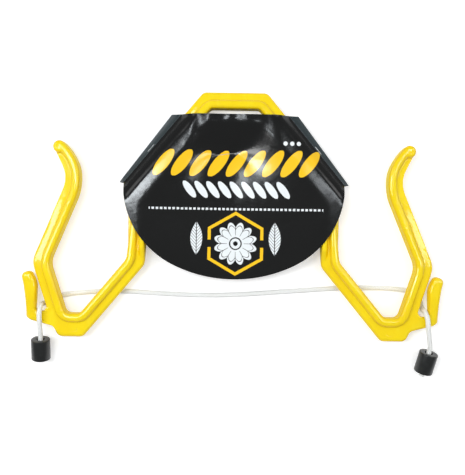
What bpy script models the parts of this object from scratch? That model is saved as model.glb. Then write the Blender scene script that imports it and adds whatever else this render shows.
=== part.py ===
"""Sheep restrainer: a moulded neck and leg frame with its cord, two cord stoppers and a card sleeve.

The frame lies on its back on a surface, held level by the cord under it and by the sleeve.
Metres. +X is to the right, +Y towards the top of the neck arch and +Z up, out of the surface.
The origin is on the surface, under the middle of the frame.
Angles of lines are compass headings in degrees: 0 along +Y, 90 along +X.
"""

import math
from collections import namedtuple

import bmesh
import bpy
import numpy
from mathutils import Matrix, Vector
from mathutils.geometry import delaunay_2d_cdt

# Clearances
GAP = 0.0003
BORE_CLEARANCE = 0.00175
KNOT_CLEARANCE = 0.0014

# Section of the moulding: a thick rail along one edge of a thinner web
RAIL_HEIGHT = 0.020
RAIL_WIDTH = 0.0096
RAIL_ROUND = 0.0038
WEB_THICKNESS = 0.008
WEB_ROUND = 0.0028
BAR_WIDTH = 0.0190

# Neck arch
FRAME_LENGTH = 0.2757
ARCH_TOP_WIDTH = 0.0716
SLANT = 39.6
NECK_WIDTH = 0.1962
LEG_WIDTH = 0.0203
LEG_FOOT_HEIGHT = 0.0877
ARCH_CORNER_RADIUS = 0.008
ARCH_INNER_CORNER_RADIUS = 0.006
SHOULDER_RADIUS = 0.020
LEG_FOOT_RADIUS = 0.013
NECK_RAIL_LEG_WIDTH = 0.0067
NECK_RAIL_WIDENING = 0.022
RAMP_START = 0.0055
RAMP_LENGTH = 0.013
LEG_RAIL_TOP_WIDTH = 0.0050
LEG_RAIL_MERGE_DROP = 0.0023
LEG_RAIL_MERGE_RADIUS = 0.010
WEB_INSET = 0.0010
SHARPEST_RADIUS = 0.0001

# Leg hooks
HOOK_FLOOR_HEIGHT = 0.0264
HOOK_FLOOR_WIDTH = 0.0165
HOOK_FLOOR_RADIUS = 0.008
HOOK_LOWER_HEADING = 18.5
HOOK_KINK_HEIGHT = 0.0832
HOOK_KINK_RADIUS = 0.022
HOOK_UPPER_HEADING = -22.4
HOOK_UPPER_LENGTH = 0.1174
HOOK_BEND_RADIUS = 0.054
TIP_HEADING = 50.0
TIP_LENGTH = 0.0398
TIP_RADIUS = 0.0069
TIP_BACK_HEADING = 26.0
TIP_BACK_RADIUS = 0.030

# Foot pads under the hooks
PAD_WIDTH = 0.0277
PAD_RADIUS = 0.008
STEP_HEADING = 27.0
STEP_HEIGHT = 0.0113
STEP_RADIUS = 0.006
BASE_HEADING = 75.4

# Cord cleats beside the hooks, placed from the throat of their slot
THROAT_HEIGHT = 0.0587
THROAT_WIDTH = 0.0017
POCKET_DEPTH = 0.0302
POCKET_RADIUS = 0.0046
FINGER_THICKNESS = 0.0130
FINGER_ROUND = 0.0050
FINGER_WIDTH = 0.0160
FINGER_ROOT_WIDTH = 0.0110
FINGER_WAIST_RADIUS = 0.020
FINGER_BEND_RADIUS = 0.016
HEEL_RADIUS = 0.0065
FINGER_TIP_RISE = 0.0070
FINGER_TIP_LEAN = 0.0039
FINGER_TIP_RADIUS = 0.0065

# Cord, end knots and stoppers
CORD_DIAMETER = 0.0055
CORD_BEND = 0.0113
CORD_POINT_SPACING = 0.0125
TAIL_POINT_SPACING = 0.0060
CORD_STUB = 0.0012
STOPPER_DIAMETER = 0.021
STOPPER_LENGTH = 0.0235
STOPPER_EDGE = 0.0008
STOPPER_TILT = 15.0
KNOT_WIDTH = 0.0110
KNOT_LENGTH = 0.0080
KNOT_INSET = 0.0007

# Card sleeve and its staples
CARD_THICKNESS = 0.0006
SLEEVE_TOP_INSET = 0.0066
SLEEVE_SEAM_TOP_MARGIN = 0.0106
SLEEVE_SEAM_FOOT_MARGIN = 0.0062
SLEEVE_SEAM_DROP = 0.0023
SLEEVE_FLAP_DROP = 0.1088
SLEEVE_FLAP_RADIUS = 0.152
SLEEVE_SIDE_RADIUS = 0.100
SLEEVE_FOOT_NOTCH = 0.0054
SLEEVE_CREASE = 0.0028
SLEEVE_CREASE_RUN = 0.045
SLEEVE_SLOPE = 0.957
DIMPLE_RADIUS = 0.032
DIMPLE_FLAT = 0.0018
STAPLE_WIRE = 0.0007
STAPLE_LEG_BEND = 0.0006
STAPLE_CLINCH = 0.0050
STAPLE_HOLE = 0.0014
CENTRE_STAPLE_CROWN = 0.022
CENTRE_STAPLE_ASIDE = -0.0088
CENTRE_STAPLE_DROP = 0.0690
CENTRE_STAPLE_TURN = 7.0
SIDE_STAPLE_CROWN = 0.0115
SIDE_STAPLE_DROP = 0.0634
SIDE_STAPLE_SETBACK = 0.0040

# Facets
ARC_STEP = 16.0
SECTION_STEPS = 2
TURNED_SIDES = 24
CORD_RESOLUTION = 2

# Heights that follow from the cord under the frame
MIDDLE = CORD_DIAMETER + GAP + RAIL_HEIGHT / 2
CORD_FLOOR = CORD_DIAMETER / 2
CORD_SPLIT = CORD_FLOOR + CORD_BEND
TOP = FRAME_LENGTH / 2
FOOT = -FRAME_LENGTH / 2

SIDES = {"left": -1, "right": 1}

# Cord route on the surface under the bars, from the left slot to the right one
NECK_ROUTE = (
    (-0.1938, -0.0933),
    (-0.1733, -0.0896),
    (-0.1506, -0.0875),
    (-0.1255, -0.0871),
    (-0.0766, -0.0892),
    (0.0031, -0.0891),
    (0.0429, -0.0861),
    (0.0769, -0.0833),
    (0.1180, -0.0802),
    (0.1500, -0.0790),
    (0.1760, -0.0792),
    (0.1930, -0.0807),
    (0.2050, -0.0840),
)

# Where the cord stands upright in each slot, its headings there and its tail towards the stopper
Tail = namedtuple("Tail", "slot arrives leaves route stopper_foot stopper_heading knot_stub")
TAILS = {
    "left": Tail(
        slot=(-0.2134, -0.1021),
        arrives=245.6,
        leaves=180.0,
        route=((-0.2134, -0.1205, 0.0241), (-0.2136, -0.1275, 0.0211), (-0.2137, -0.1345, 0.0184)),
        stopper_foot=(-0.2144, -0.1640),
        stopper_heading=1.5,
        knot_stub=0.0015,
    ),
    "right": Tail(
        slot=(0.2150, -0.1026),
        arrives=171.0,
        leaves=170.0,
        route=(
            (0.2178, -0.1215, 0.0245),
            (0.2194, -0.1300, 0.0224),
            (0.2208, -0.1375, 0.0200),
            (0.2217, -0.1441, 0.0179),
        ),
        stopper_foot=(0.2163, -0.1720),
        stopper_heading=12.0,
        knot_stub=0.0055,
    ),
}

Corner = namedtuple("Corner", "point radius half_width half_height", defaults=(0.0, 0.0, 0.0))


# Lines and rounded outlines


def heading_vector(heading):
    """Unit vector in the plan for a compass heading."""
    angle = math.radians(heading)
    return Vector((math.sin(angle), math.cos(angle)))


class Line:
    """A straight line in the plan, with its heading."""

    def __init__(self, point, heading):
        self.point = Vector(point)
        self.heading = heading
        self.along = heading_vector(heading)
        self.right = heading_vector(heading + 90)

    def offset(self, distance):
        """The parallel line at a distance to the right."""
        return Line(self.point + self.right * distance, self.heading)

    def at(self, distance):
        """The point at a distance along the line."""
        return self.point + self.along * distance

    def at_height(self, y):
        """The point of the line at one Y."""
        return self.at((y - self.point.y) / self.along.y)

    def meet(self, other):
        """The point where two lines cross."""
        reach = other.point - self.point
        turn = self.along.x * other.along.y - self.along.y * other.along.x
        return self.at((reach.x * other.along.y - reach.y * other.along.x) / turn)

    def inside(self, point):
        """How far a point lies to the right of the line."""
        return (Vector(point[:2]) - self.point).dot(self.right)


def mirrored(corners):
    """The left-hand copy of a chain of corners, in the same order."""
    return [corner._replace(point=Vector((-corner.point.x, corner.point.y))) for corner in corners]


def offset_outline(corners, distance):
    """A closed clockwise outline moved inwards by a distance."""
    moved = []
    for index, corner in enumerate(corners):
        before = (corner.point - corners[index - 1].point).normalized()
        after = (corners[(index + 1) % len(corners)].point - corner.point).normalized()
        turn = before.x * after.y - before.y * after.x
        right_before = Vector((before.y, -before.x))
        right_after = Vector((after.y, -after.x))
        shift = (right_before + right_after) / (1 + right_before.dot(right_after))
        radius = corner.radius + math.copysign(distance, turn)
        moved.append(corner._replace(point=corner.point + shift * distance, radius=max(radius, SHARPEST_RADIUS)))
    return moved


def fillet(before, corner, after):
    """Points of one rounded corner, with as many steps as its turn needs."""
    to_before = (before.point - corner.point).normalized()
    to_after = (after.point - corner.point).normalized()
    turn = math.pi - to_before.angle(to_after)
    if corner.radius <= 0 or turn < math.radians(1):
        return [corner.point.copy()]
    steps = max(2, round(math.degrees(turn) / ARC_STEP))
    reach = corner.radius * math.tan(turn / 2)
    middle = (to_before + to_after).normalized()
    centre = corner.point + middle * (corner.radius / math.cos(turn / 2))
    start = corner.point + to_before * reach - centre
    side = math.copysign(1, -(to_before.x * to_after.y - to_before.y * to_after.x))
    points = []
    for step in range(steps + 1):
        spin = Matrix.Rotation(side * turn * step / steps, 2)
        points.append(centre + spin @ start)
    return points


def closed_points(corners):
    """The points of a closed outline with rounded corners."""
    points = []
    for index, corner in enumerate(corners):
        points += fillet(corners[index - 1], corner, corners[(index + 1) % len(corners)])
    return points


def stations(corners):
    """Points with half widths and half heights along an open path with rounded corners."""
    result = [(corners[0].point, corners[0].half_width, corners[0].half_height)]
    for before, corner, after in zip(corners, corners[1:], corners[2:]):
        for point in fillet(before, corner, after):
            near = (point - corner.point).length
            toward = after if (point - after.point).length < (point - before.point).length else before
            share = min(1.0, near / (toward.point - corner.point).length)
            width = corner.half_width + (toward.half_width - corner.half_width) * share
            height = corner.half_height + (toward.half_height - corner.half_height) * share
            result.append((point, width, height))
    result.append((corners[-1].point, corners[-1].half_width, corners[-1].half_height))
    return result


# Lines of the right half of the frame

TOP_OUTER = Line((0, TOP), 90)
TOP_INNER = TOP_OUTER.offset(BAR_WIDTH)
SLANT_OUTER = Line((ARCH_TOP_WIDTH / 2, TOP), 180 - SLANT)
SLANT_INNER = SLANT_OUTER.offset(BAR_WIDTH)
LEG_OUTER = Line((NECK_WIDTH / 2 + LEG_WIDTH, 0), 180)
LEG_INNER = Line((NECK_WIDTH / 2, 0), 180)
SHOULDER = SLANT_OUTER.meet(LEG_OUTER)
SPLAY_HOOK = Line((LEG_OUTER.point.x, FOOT + LEG_FOOT_HEIGHT), 180 - SLANT)
SPLAY_NECK = SPLAY_HOOK.offset(BAR_WIDTH)
HOOK_FLOOR = Line((0, FOOT + HOOK_FLOOR_HEIGHT), 90)
HOOK_LOWER = Line(HOOK_FLOOR.meet(SPLAY_HOOK) + Vector((HOOK_FLOOR_WIDTH, 0)), HOOK_LOWER_HEADING)
HOOK_UPPER = Line(HOOK_LOWER.at_height(FOOT + HOOK_KINK_HEIGHT), HOOK_UPPER_HEADING)
TIP = Line(HOOK_UPPER.at(HOOK_UPPER_LENGTH), TIP_HEADING)
TIP_CENTRE = TIP.at(TIP_LENGTH) + TIP.right * TIP_RADIUS
TIP_BACK = Line(TIP_CENTRE + heading_vector(TIP_BACK_HEADING + 90) * TIP_RADIUS, TIP_BACK_HEADING)
HOOK_UPPER_OUTER = HOOK_UPPER.offset(BAR_WIDTH)
HOOK_LOWER_OUTER = HOOK_LOWER.offset(BAR_WIDTH)
PAD_FOOT = Line((0, FOOT), 270)
PAD_START = PAD_FOOT.meet(SPLAY_NECK)
PAD_STEP = Line(PAD_START + Vector((PAD_WIDTH, 0)), STEP_HEADING)
BASE_EDGE = Line(PAD_STEP.at_height(FOOT + STEP_HEIGHT), BASE_HEADING)
THROAT = HOOK_LOWER_OUTER.at_height(FOOT + THROAT_HEIGHT)
POCKET_FLOOR = Line((0, THROAT.y - POCKET_DEPTH), 90)
POCKET_WEB_SIDE = HOOK_LOWER_OUTER.meet(POCKET_FLOOR)
FINGER_SIDE = THROAT.x + THROAT_WIDTH
CENTRE_STAPLE = Vector((CENTRE_STAPLE_ASIDE, TOP - CENTRE_STAPLE_DROP))


def hook_edge():
    """The edge of the right hook's opening, from the foot of the arch leg to the tip."""
    return [
        Corner(SPLAY_HOOK.meet(LEG_OUTER), LEG_FOOT_RADIUS),
        Corner(SPLAY_HOOK.meet(HOOK_FLOOR), HOOK_FLOOR_RADIUS),
        Corner(HOOK_LOWER.meet(HOOK_FLOOR), HOOK_FLOOR_RADIUS),
        Corner(HOOK_UPPER.meet(HOOK_LOWER), HOOK_KINK_RADIUS),
        Corner(TIP.meet(HOOK_UPPER), HOOK_BEND_RADIUS),
    ]


def neck_edge():
    """The right half of the neck opening's edge, from its foot to the top of the arch."""
    return [
        Corner(SPLAY_NECK.meet(LEG_INNER), LEG_FOOT_RADIUS),
        Corner(SLANT_INNER.meet(LEG_INNER), SHOULDER_RADIUS),
        Corner(SLANT_INNER.meet(TOP_INNER), ARCH_INNER_CORNER_RADIUS),
    ]


def cleat_edge():
    """The web round the right cord pocket and along the foot pad. It ends inside the finger."""
    pocket_side = FINGER_SIDE + FINGER_ROOT_WIDTH * 0.1
    web_side = FINGER_SIDE + FINGER_ROOT_WIDTH
    web_top = THROAT.y - POCKET_DEPTH / 2
    return [
        Corner(POCKET_WEB_SIDE, POCKET_RADIUS),
        Corner(Vector((pocket_side, POCKET_FLOOR.point.y)), POCKET_RADIUS),
        Corner(Vector((pocket_side, web_top)), 0.0),
        Corner(Vector((web_side, web_top)), 0.0),
        Corner(BASE_EDGE.meet(Line((web_side, 0), 0)), HEEL_RADIUS),
        Corner(BASE_EDGE.meet(PAD_STEP), STEP_RADIUS),
        Corner(PAD_STEP.meet(PAD_FOOT), PAD_RADIUS),
        Corner(PAD_START, PAD_RADIUS),
    ]


def frame_outline():
    """The whole outline of the web, clockwise from above. Under the rails it stops inside them."""
    shoulder = Corner(SHOULDER, SHOULDER_RADIUS)
    tip = Corner(TIP.meet(TIP_BACK), TIP_RADIUS)
    neck_foot, neck_shoulder, neck_crown = neck_edge()
    right = [Corner(TOP_OUTER.meet(SLANT_OUTER), ARCH_CORNER_RADIUS), shoulder]
    right += path_beside([shoulder] + hook_edge() + [tip], WEB_INSET)[1:-1]
    right += [
        Corner(TIP.offset(WEB_INSET).meet(TIP_BACK), TIP_RADIUS - WEB_INSET / 2),
        Corner(TIP_BACK.meet(HOOK_UPPER_OUTER), TIP_BACK_RADIUS),
        Corner(HOOK_UPPER_OUTER.meet(HOOK_LOWER_OUTER), HOOK_KINK_RADIUS),
    ]
    right += cleat_edge()
    right.append(neck_foot)
    right += path_beside([neck_foot, neck_shoulder, neck_crown, *mirrored([neck_crown])], WEB_INSET)[1:-1]
    return right + mirrored(reversed(right))


def path_beside(corners, distance):
    """An open chain of corners moved to its right."""
    return path_inside(corners, [distance] * len(corners), [0.0] * len(corners))


def path_inside(corners, half_widths, half_heights):
    """The middle line of a rail that lies along the right of an open chain of corners."""
    path = []
    for index, corner in enumerate(corners):
        before = corners[index - 1] if index else corner
        after = corners[index + 1] if index + 1 < len(corners) else corner
        arriving = (corner.point - before.point).normalized() if index else None
        leaving = (after.point - corner.point).normalized() if after is not corner else arriving
        arriving = arriving or leaving
        turn = arriving.x * leaving.y - arriving.y * leaving.x
        right_before = Vector((arriving.y, -arriving.x))
        right_after = Vector((leaving.y, -leaving.x))
        shift = (right_before + right_after) / (1 + right_before.dot(right_after))
        half_width = half_widths[index]
        radius = max(0.0, corner.radius + math.copysign(half_width, turn)) if corner.radius else 0.0
        path.append(Corner(corner.point + shift * half_width, radius, half_width, half_heights[index]))
    return path


# Solids


def add_object(name, mesh, material=None):
    """An object in the scene, with its material."""
    item = bpy.data.objects.new(name, mesh)
    bpy.context.scene.collection.objects.link(item)
    if material:
        mesh.materials.append(material)
    return item


def make_material(name, colour, roughness, metallic=0.0):
    """A Principled BSDF material."""
    material = bpy.data.materials.new(name)
    material.use_nodes = True
    shader = material.node_tree.nodes["Principled BSDF"]
    shader.inputs["Base Color"].default_value = (*colour, 1.0)
    shader.inputs["Roughness"].default_value = roughness
    shader.inputs["Metallic"].default_value = metallic
    return material


def mesh_from(build, name):
    """A mesh with its faces pointing out, filled by a function that takes a bmesh."""
    work = bmesh.new()
    build(work)
    bmesh.ops.recalc_face_normals(work, faces=work.faces)
    mesh = bpy.data.meshes.new(name)
    work.to_mesh(mesh)
    work.free()
    mesh.shade_smooth()
    mesh.set_sharp_from_angle(angle=math.radians(40))
    return mesh


def loft(work, rings):
    """Walls between closed rings of equal length, with a cap at each end."""
    layers = [[work.verts.new(point) for point in ring] for ring in rings]
    for lower, upper in zip(layers, layers[1:]):
        for index in range(len(lower)):
            following = (index + 1) % len(lower)
            work.faces.new((lower[index], lower[following], upper[following], upper[index]))
    work.faces.new(layers[0])
    work.faces.new(layers[-1])


def rounded_section(half_width, half_height, rounding):
    """Sideways and upward offsets round a bar's section with rounded corners."""
    radius = min(rounding, half_width * 0.9, half_height * 0.9)
    centres = ((1, 1), (-1, 1), (-1, -1), (1, -1))
    section = []
    for quarter, (side, rise) in enumerate(centres):
        for step in range(SECTION_STEPS + 1):
            angle = math.radians(90 * quarter + 90 * step / SECTION_STEPS)
            across = side * (half_width - radius) + radius * math.cos(angle)
            up = rise * (half_height - radius) + radius * math.sin(angle)
            section.append((across, up))
    return section


def bar_rings(path_stations, rounding, round_ends=False):
    """Rings of a bar's section along its stations, level with the middle of the frame."""
    rings = []
    if round_ends:
        path_stations = domed(path_stations[1], path_stations[0])[::-1] + path_stations
        path_stations = path_stations + domed(path_stations[-2], path_stations[-1])
    count = len(path_stations)
    for index, (point, half_width, half_height) in enumerate(path_stations):
        before = path_stations[max(index - 1, 0)][0]
        after = path_stations[min(index + 1, count - 1)][0]
        arriving = (point - before).normalized() if index else (after - point).normalized()
        leaving = (after - point).normalized() if index + 1 < count else arriving
        along = (arriving + leaving).normalized()
        stretch = 1 / max(0.6, along.dot(arriving))
        right = Vector((along.y, -along.x)) * stretch
        ring = []
        for across, up in rounded_section(half_width, half_height, rounding):
            place = point + right * across
            ring.append((place.x, place.y, MIDDLE + up))
        rings.append(ring)
    return rings


def domed(inner, end):
    """Smaller stations past the end of a bar, which round it off."""
    outward = (end[0] - inner[0]).normalized()
    half_width = end[1]
    half_height = end[2]
    result = []
    for angle in (30, 55, 75):
        run = math.sin(math.radians(angle))
        narrowing = math.cos(math.radians(angle))
        height = half_height - half_width * (1 - narrowing) * 0.4
        result.append((end[0] + outward * half_width * run, half_width * narrowing, height))
    return result


def turned(profile, sides=TURNED_SIDES):
    """A bmesh builder for a closed profile of radii and heights turned about Z."""

    def build(work):
        rings = []
        for radius, height in profile:
            if radius == 0:
                rings.append([work.verts.new((0, 0, height))])
                continue
            ring = []
            for side in range(sides):
                angle = 2 * math.pi * side / sides
                ring.append(work.verts.new((radius * math.cos(angle), radius * math.sin(angle), height)))
            rings.append(ring)
        for lower, upper in zip(rings, rings[1:] + rings[:1]):
            if len(lower) == 1 and len(upper) == 1:
                continue
            for side in range(sides):
                following = (side + 1) % sides
                corners = [lower[side % len(lower)], lower[following % len(lower)]]
                corners += [upper[following % len(upper)], upper[side % len(upper)]]
                distinct = list(dict.fromkeys(corners))
                work.faces.new(distinct)

    return build


# Frame


def build_web(work):
    """The web of the whole frame, with rounded edges."""
    outline = frame_outline()
    half = WEB_THICKNESS / 2
    levels = []
    for step in range(SECTION_STEPS + 1):
        angle = math.radians(90 * step / SECTION_STEPS)
        inset = WEB_ROUND * (1 - math.sin(angle))
        levels.append((half - WEB_ROUND * (1 - math.cos(angle)), inset))
    levels += [(-height, inset) for height, inset in reversed(levels)]
    rings = []
    for height, inset in levels:
        ring = closed_points(offset_outline(outline, inset))
        rings.append([(point.x, point.y, MIDDLE + height) for point in ring])
    loft(work, rings)


def hook_rail_path():
    """The rail from the shoulder of the arch down the leg and round the right hook to its tip."""
    half = RAIL_WIDTH / 2
    full = RAIL_HEIGHT / 2
    narrow = LEG_RAIL_TOP_WIDTH / 2
    shoulder = Corner(SHOULDER)
    edge = [shoulder] + hook_edge() + [Corner(TIP.at(TIP_LENGTH))]
    path = path_inside(edge, [half] * len(edge), [full] * len(edge))[1:]
    merge_x = LEG_INNER.point.x + NECK_RAIL_LEG_WIDTH + narrow
    merge_place = Vector((merge_x, SHOULDER.y - LEG_RAIL_MERGE_DROP))
    merge = Corner(merge_place, LEG_RAIL_MERGE_RADIUS, narrow, full)
    arch_rail = SLANT_INNER.offset(-half)
    end = Corner(arch_rail.at_height(merge.point.y + LEG_RAIL_MERGE_RADIUS), 0.0, narrow, full)
    return [end, merge] + path


def neck_rail_path():
    """The rail along the neck opening, from the ramp at one foot over the arch to the other."""
    full = RAIL_HEIGHT / 2
    narrow = NECK_RAIL_LEG_WIDTH / 2
    wide = RAIL_WIDTH / 2
    foot, shoulder, crown = neck_edge()
    start = Corner(foot.point + Vector((WEB_INSET, RAMP_START)))
    risen = Corner(foot.point + Vector((0, RAMP_START + RAMP_LENGTH)))
    widened = Corner(SLANT_INNER.at_height(shoulder.point.y + NECK_RAIL_WIDENING))
    chain = [start, risen, shoulder, widened, crown, *mirrored([crown])]
    widths = [narrow / 3, narrow, narrow, wide, wide, wide]
    heights = [WEB_THICKNESS * 0.45, full, full, full, full, full]
    right = path_inside(chain, widths, heights)[:-1]
    return right + mirrored(reversed(right))


def finger_path():
    """The middle line of the right cleat finger, from its root to its tip."""
    wide = FINGER_WIDTH / 2
    root = FINGER_ROOT_WIDTH / 2
    high = FINGER_THICKNESS / 2
    middle = FINGER_SIDE + wide
    pocket_side = FINGER_SIDE + FINGER_ROOT_WIDTH * 0.1
    tip = Vector((middle + FINGER_TIP_LEAN, THROAT.y + FINGER_TIP_RISE))
    waist_depth = POCKET_DEPTH * 0.6
    return [
        Corner(Vector((pocket_side + root * 1.2, THROAT.y - POCKET_DEPTH)), 0.0, root, high),
        Corner(Vector((pocket_side + root, THROAT.y - waist_depth)), FINGER_WAIST_RADIUS, root * 1.15, high),
        Corner(Vector((middle, THROAT.y)), FINGER_BEND_RADIUS, wide, high),
        Corner(tip, 0.0, FINGER_TIP_RADIUS, high),
    ]


def make_frame(material):
    """The one-piece moulding: web, rails, rounded tips and cleat fingers, joined by a Boolean."""
    frame = add_object("frame", mesh_from(build_web, "frame"), material)
    parts = bpy.data.collections.new("frame_solids")
    bpy.context.scene.collection.children.link(parts)
    rounding = RAIL_ROUND
    solids = [("neck_rail", bar_rings(stations(neck_rail_path()), rounding))]
    for side, sign in SIDES.items():
        hook = hook_rail_path()
        finger = finger_path()
        if sign < 0:
            hook = mirrored(hook)
            finger = mirrored(finger)
        solids.append((f"hook_rail_{side}", bar_rings(stations(hook), rounding)))
        solids.append((f"finger_{side}", bar_rings(stations(finger), FINGER_ROUND, round_ends=True)))
        solids.append((f"hook_tip_{side}", tip_rings(sign)))
    for name, rings in solids:
        solid = add_object(name, mesh_from(lambda work, rings=rings: loft(work, rings), name))
        bpy.context.scene.collection.objects.unlink(solid)
        parts.objects.link(solid)
        solid.hide_render = True
        solid.display_type = "WIRE"
    union = frame.modifiers.new("union", "BOOLEAN")
    union.operation = "UNION"
    union.operand_type = "COLLECTION"
    union.collection = parts
    union.solver = "EXACT"
    return frame


def tip_rings(sign):
    """Rings of the round boss that ends a hook."""
    rings = []
    half = RAIL_HEIGHT / 2
    levels = []
    for step in range(SECTION_STEPS + 1):
        angle = math.radians(90 * step / SECTION_STEPS)
        levels.append((half - RAIL_ROUND * (1 - math.cos(angle)), RAIL_ROUND * (1 - math.sin(angle))))
    levels += [(-height, inset) for height, inset in reversed(levels)]
    for height, inset in levels:
        ring = []
        for side in range(TURNED_SIDES):
            angle = 2 * math.pi * side / TURNED_SIDES
            x = TIP_CENTRE.x * sign + (TIP_RADIUS - inset) * math.cos(angle)
            y = TIP_CENTRE.y + (TIP_RADIUS - inset) * math.sin(angle)
            ring.append((x, y, MIDDLE + height))
        rings.append(ring)
    return rings


# Cord, knots and stoppers


def smooth_route(points, start, end, spacing):
    """Evenly spaced points of a smooth curve through a route, with square ends in given directions."""
    places = numpy.array([tuple(point) for point in points])
    lengths = numpy.linalg.norm(numpy.diff(places, axis=0), axis=1)
    knots = numpy.concatenate(([0.0], numpy.cumsum(lengths)))
    count = len(places)
    system = numpy.zeros((count, count))
    target = numpy.zeros((count, 3))
    system[0, 0] = 1.0
    system[-1, -1] = 1.0
    target[0] = start
    target[-1] = end
    for index in range(1, count - 1):
        before = lengths[index - 1]
        after = lengths[index]
        system[index, index - 1] = after
        system[index, index] = 2 * (before + after)
        system[index, index + 1] = before
        rise = (places[index + 1] - places[index]) / after * before
        fall = (places[index] - places[index - 1]) / before * after
        target[index] = 3 * (rise + fall)
    slopes = numpy.linalg.solve(system, target)
    steps = max(8, round(knots[-1] / spacing))
    result = []
    for place in numpy.linspace(0.0, knots[-1], steps + 1):
        index = min(count - 2, int(numpy.searchsorted(knots, place, side="right")) - 1)
        span = lengths[index]
        share = (place - knots[index]) / span
        low = 2 * share**3 - 3 * share**2 + 1
        low_slope = share**3 - 2 * share**2 + share
        high = 3 * share**2 - 2 * share**3
        high_slope = share**3 - share**2
        point = low * places[index] + high * places[index + 1]
        point += span * (low_slope * slopes[index] + high_slope * slopes[index + 1])
        result.append(Vector(point))
    result.insert(1, result[0] + Vector(start) * CORD_STUB)
    result.insert(-1, result[-1] - Vector(end) * CORD_STUB)
    return result


def quarter_bend(slot, heading, up):
    """Cord points of a quarter turn between level and upright, and away from the slot's upright."""
    away = heading_vector(heading)
    points = []
    for angle in (30, 60, 90):
        run = CORD_BEND * (1 - math.cos(math.radians(angle)))
        rise = CORD_BEND * math.sin(math.radians(angle))
        place = Vector(slot) + away * run
        points.append((place.x, place.y, CORD_SPLIT + rise if up else CORD_SPLIT - rise))
    return points


def stopper_axis(tail):
    """The middle of a stopper's lower end, and the direction up its axis."""
    tilt = math.radians(STOPPER_TILT)
    level = heading_vector(tail.stopper_heading) * math.cos(tilt)
    foot = Vector((*tail.stopper_foot, STOPPER_DIAMETER / 2 * math.cos(tilt)))
    return foot, Vector((level.x, level.y, math.sin(tilt)))


def neck_cord_points():
    """The cord from the left slot, under the bars, to the right slot."""
    left = TAILS["left"]
    right = TAILS["right"]
    route = [(*left.slot, CORD_SPLIT - GAP / 2)]
    route += quarter_bend(left.slot, left.arrives + 180, up=False)
    route += [(x, y, CORD_FLOOR) for x, y in NECK_ROUTE]
    route += reversed(quarter_bend(right.slot, right.arrives + 180, up=False))
    route.append((*right.slot, CORD_SPLIT - GAP / 2))
    return smooth_route(route, (0, 0, -1), (0, 0, 1), CORD_POINT_SPACING / 2)


def tail_points(tail):
    """One end of the cord, from its slot to the knot inside its stopper."""
    foot, axis = stopper_axis(tail)
    shoulder = foot + axis * (KNOT_INSET + KNOT_LENGTH + GAP)
    top = foot + axis * STOPPER_LENGTH
    route = [(*tail.slot, CORD_SPLIT + GAP / 2)]
    route += quarter_bend(tail.slot, tail.leaves, up=True)
    route += tail.route
    route += [tuple(top), tuple((top + shoulder) / 2), tuple(shoulder)]
    return smooth_route(route, (0, 0, 1), tuple(-axis), TAIL_POINT_SPACING)


def make_cord(name, points, material):
    """A tube along a polyline, with closed ends."""
    curve = bpy.data.curves.new(name, "CURVE")
    curve.dimensions = "3D"
    curve.bevel_depth = CORD_DIAMETER / 2
    curve.bevel_resolution = CORD_RESOLUTION
    curve.use_fill_caps = True
    curve.materials.append(material)
    spline = curve.splines.new("POLY")
    spline.points.add(len(points) - 1)
    for slot, point in zip(spline.points, points):
        slot.co = (*point, 1.0)
    item = bpy.data.objects.new(name, curve)
    bpy.context.scene.collection.objects.link(item)
    return item


def knot_profile(stub):
    """Half section of an end knot with its cut cord end, from the lower end up."""
    cord = CORD_DIAMETER / 2
    wide = KNOT_WIDTH / 2
    long = KNOT_LENGTH
    low = KNOT_INSET
    return [
        (0, -stub),
        (cord * 0.9, -stub),
        (cord, -stub + cord * 0.15),
        (cord, low),
        (wide * 0.82, low + long * 0.08),
        (wide, low + long * 0.3),
        (wide, low + long * 0.7),
        (wide * 0.82, low + long * 0.93),
        (cord, low + long),
        (0, low + long),
    ]


def stopper_profile():
    """Half section of a stopper: a thick tube with a wider socket for the knot."""
    outer = STOPPER_DIAMETER / 2
    bore = CORD_DIAMETER / 2 + BORE_CLEARANCE
    socket = KNOT_WIDTH / 2 + KNOT_CLEARANCE
    depth = KNOT_INSET + KNOT_LENGTH + GAP
    edge = STOPPER_EDGE
    return [
        (socket, 0),
        (outer - edge, 0),
        (outer, edge),
        (outer, STOPPER_LENGTH - edge),
        (outer - edge, STOPPER_LENGTH),
        (bore, STOPPER_LENGTH),
        (bore, depth),
        (socket, depth),
    ]


def make_tail(side, cord_material, rubber_material):
    """A cord end with its knot and stopper, hung from a pivot where the cord stands in its slot."""
    tail = TAILS[side]
    foot, axis = stopper_axis(tail)
    pivot = bpy.data.objects.new(f"tail_pivot_{side}", None)
    pivot.location = (*tail.slot, CORD_SPLIT)
    bpy.context.scene.collection.objects.link(pivot)
    cord = make_cord(f"cord_tail_{side}", tail_points(tail), cord_material)
    knot = add_object(f"knot_{side}", mesh_from(turned(knot_profile(tail.knot_stub), 16), f"knot_{side}"))
    knot.data.materials.append(cord_material)
    stopper = add_object(f"stopper_{side}", mesh_from(turned(stopper_profile()), f"stopper_{side}"))
    stopper.data.materials.append(rubber_material)
    placed = Matrix.Translation(foot) @ axis.to_track_quat("Z", "Y").to_matrix().to_4x4()
    unmoved = Matrix.Translation(pivot.location).inverted()
    for item, matrix in ((cord, Matrix.Identity(4)), (knot, placed), (stopper, placed)):
        item.parent = pivot
        item.matrix_parent_inverse = unmoved
        item.matrix_basis = matrix


# Card sleeve


def sleeve_lines():
    """The line of the sleeve's top edge, and the ends of its right seam."""
    top = Line((0, TOP - BAR_WIDTH - SLEEVE_TOP_INSET), 90)
    upper = SLANT_OUTER.offset(-SLEEVE_SEAM_TOP_MARGIN).meet(top)
    lower = SLANT_OUTER.offset(-SLEEVE_SEAM_FOOT_MARGIN).at_height(SHOULDER.y - SLEEVE_SEAM_DROP)
    return top, upper, lower


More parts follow.
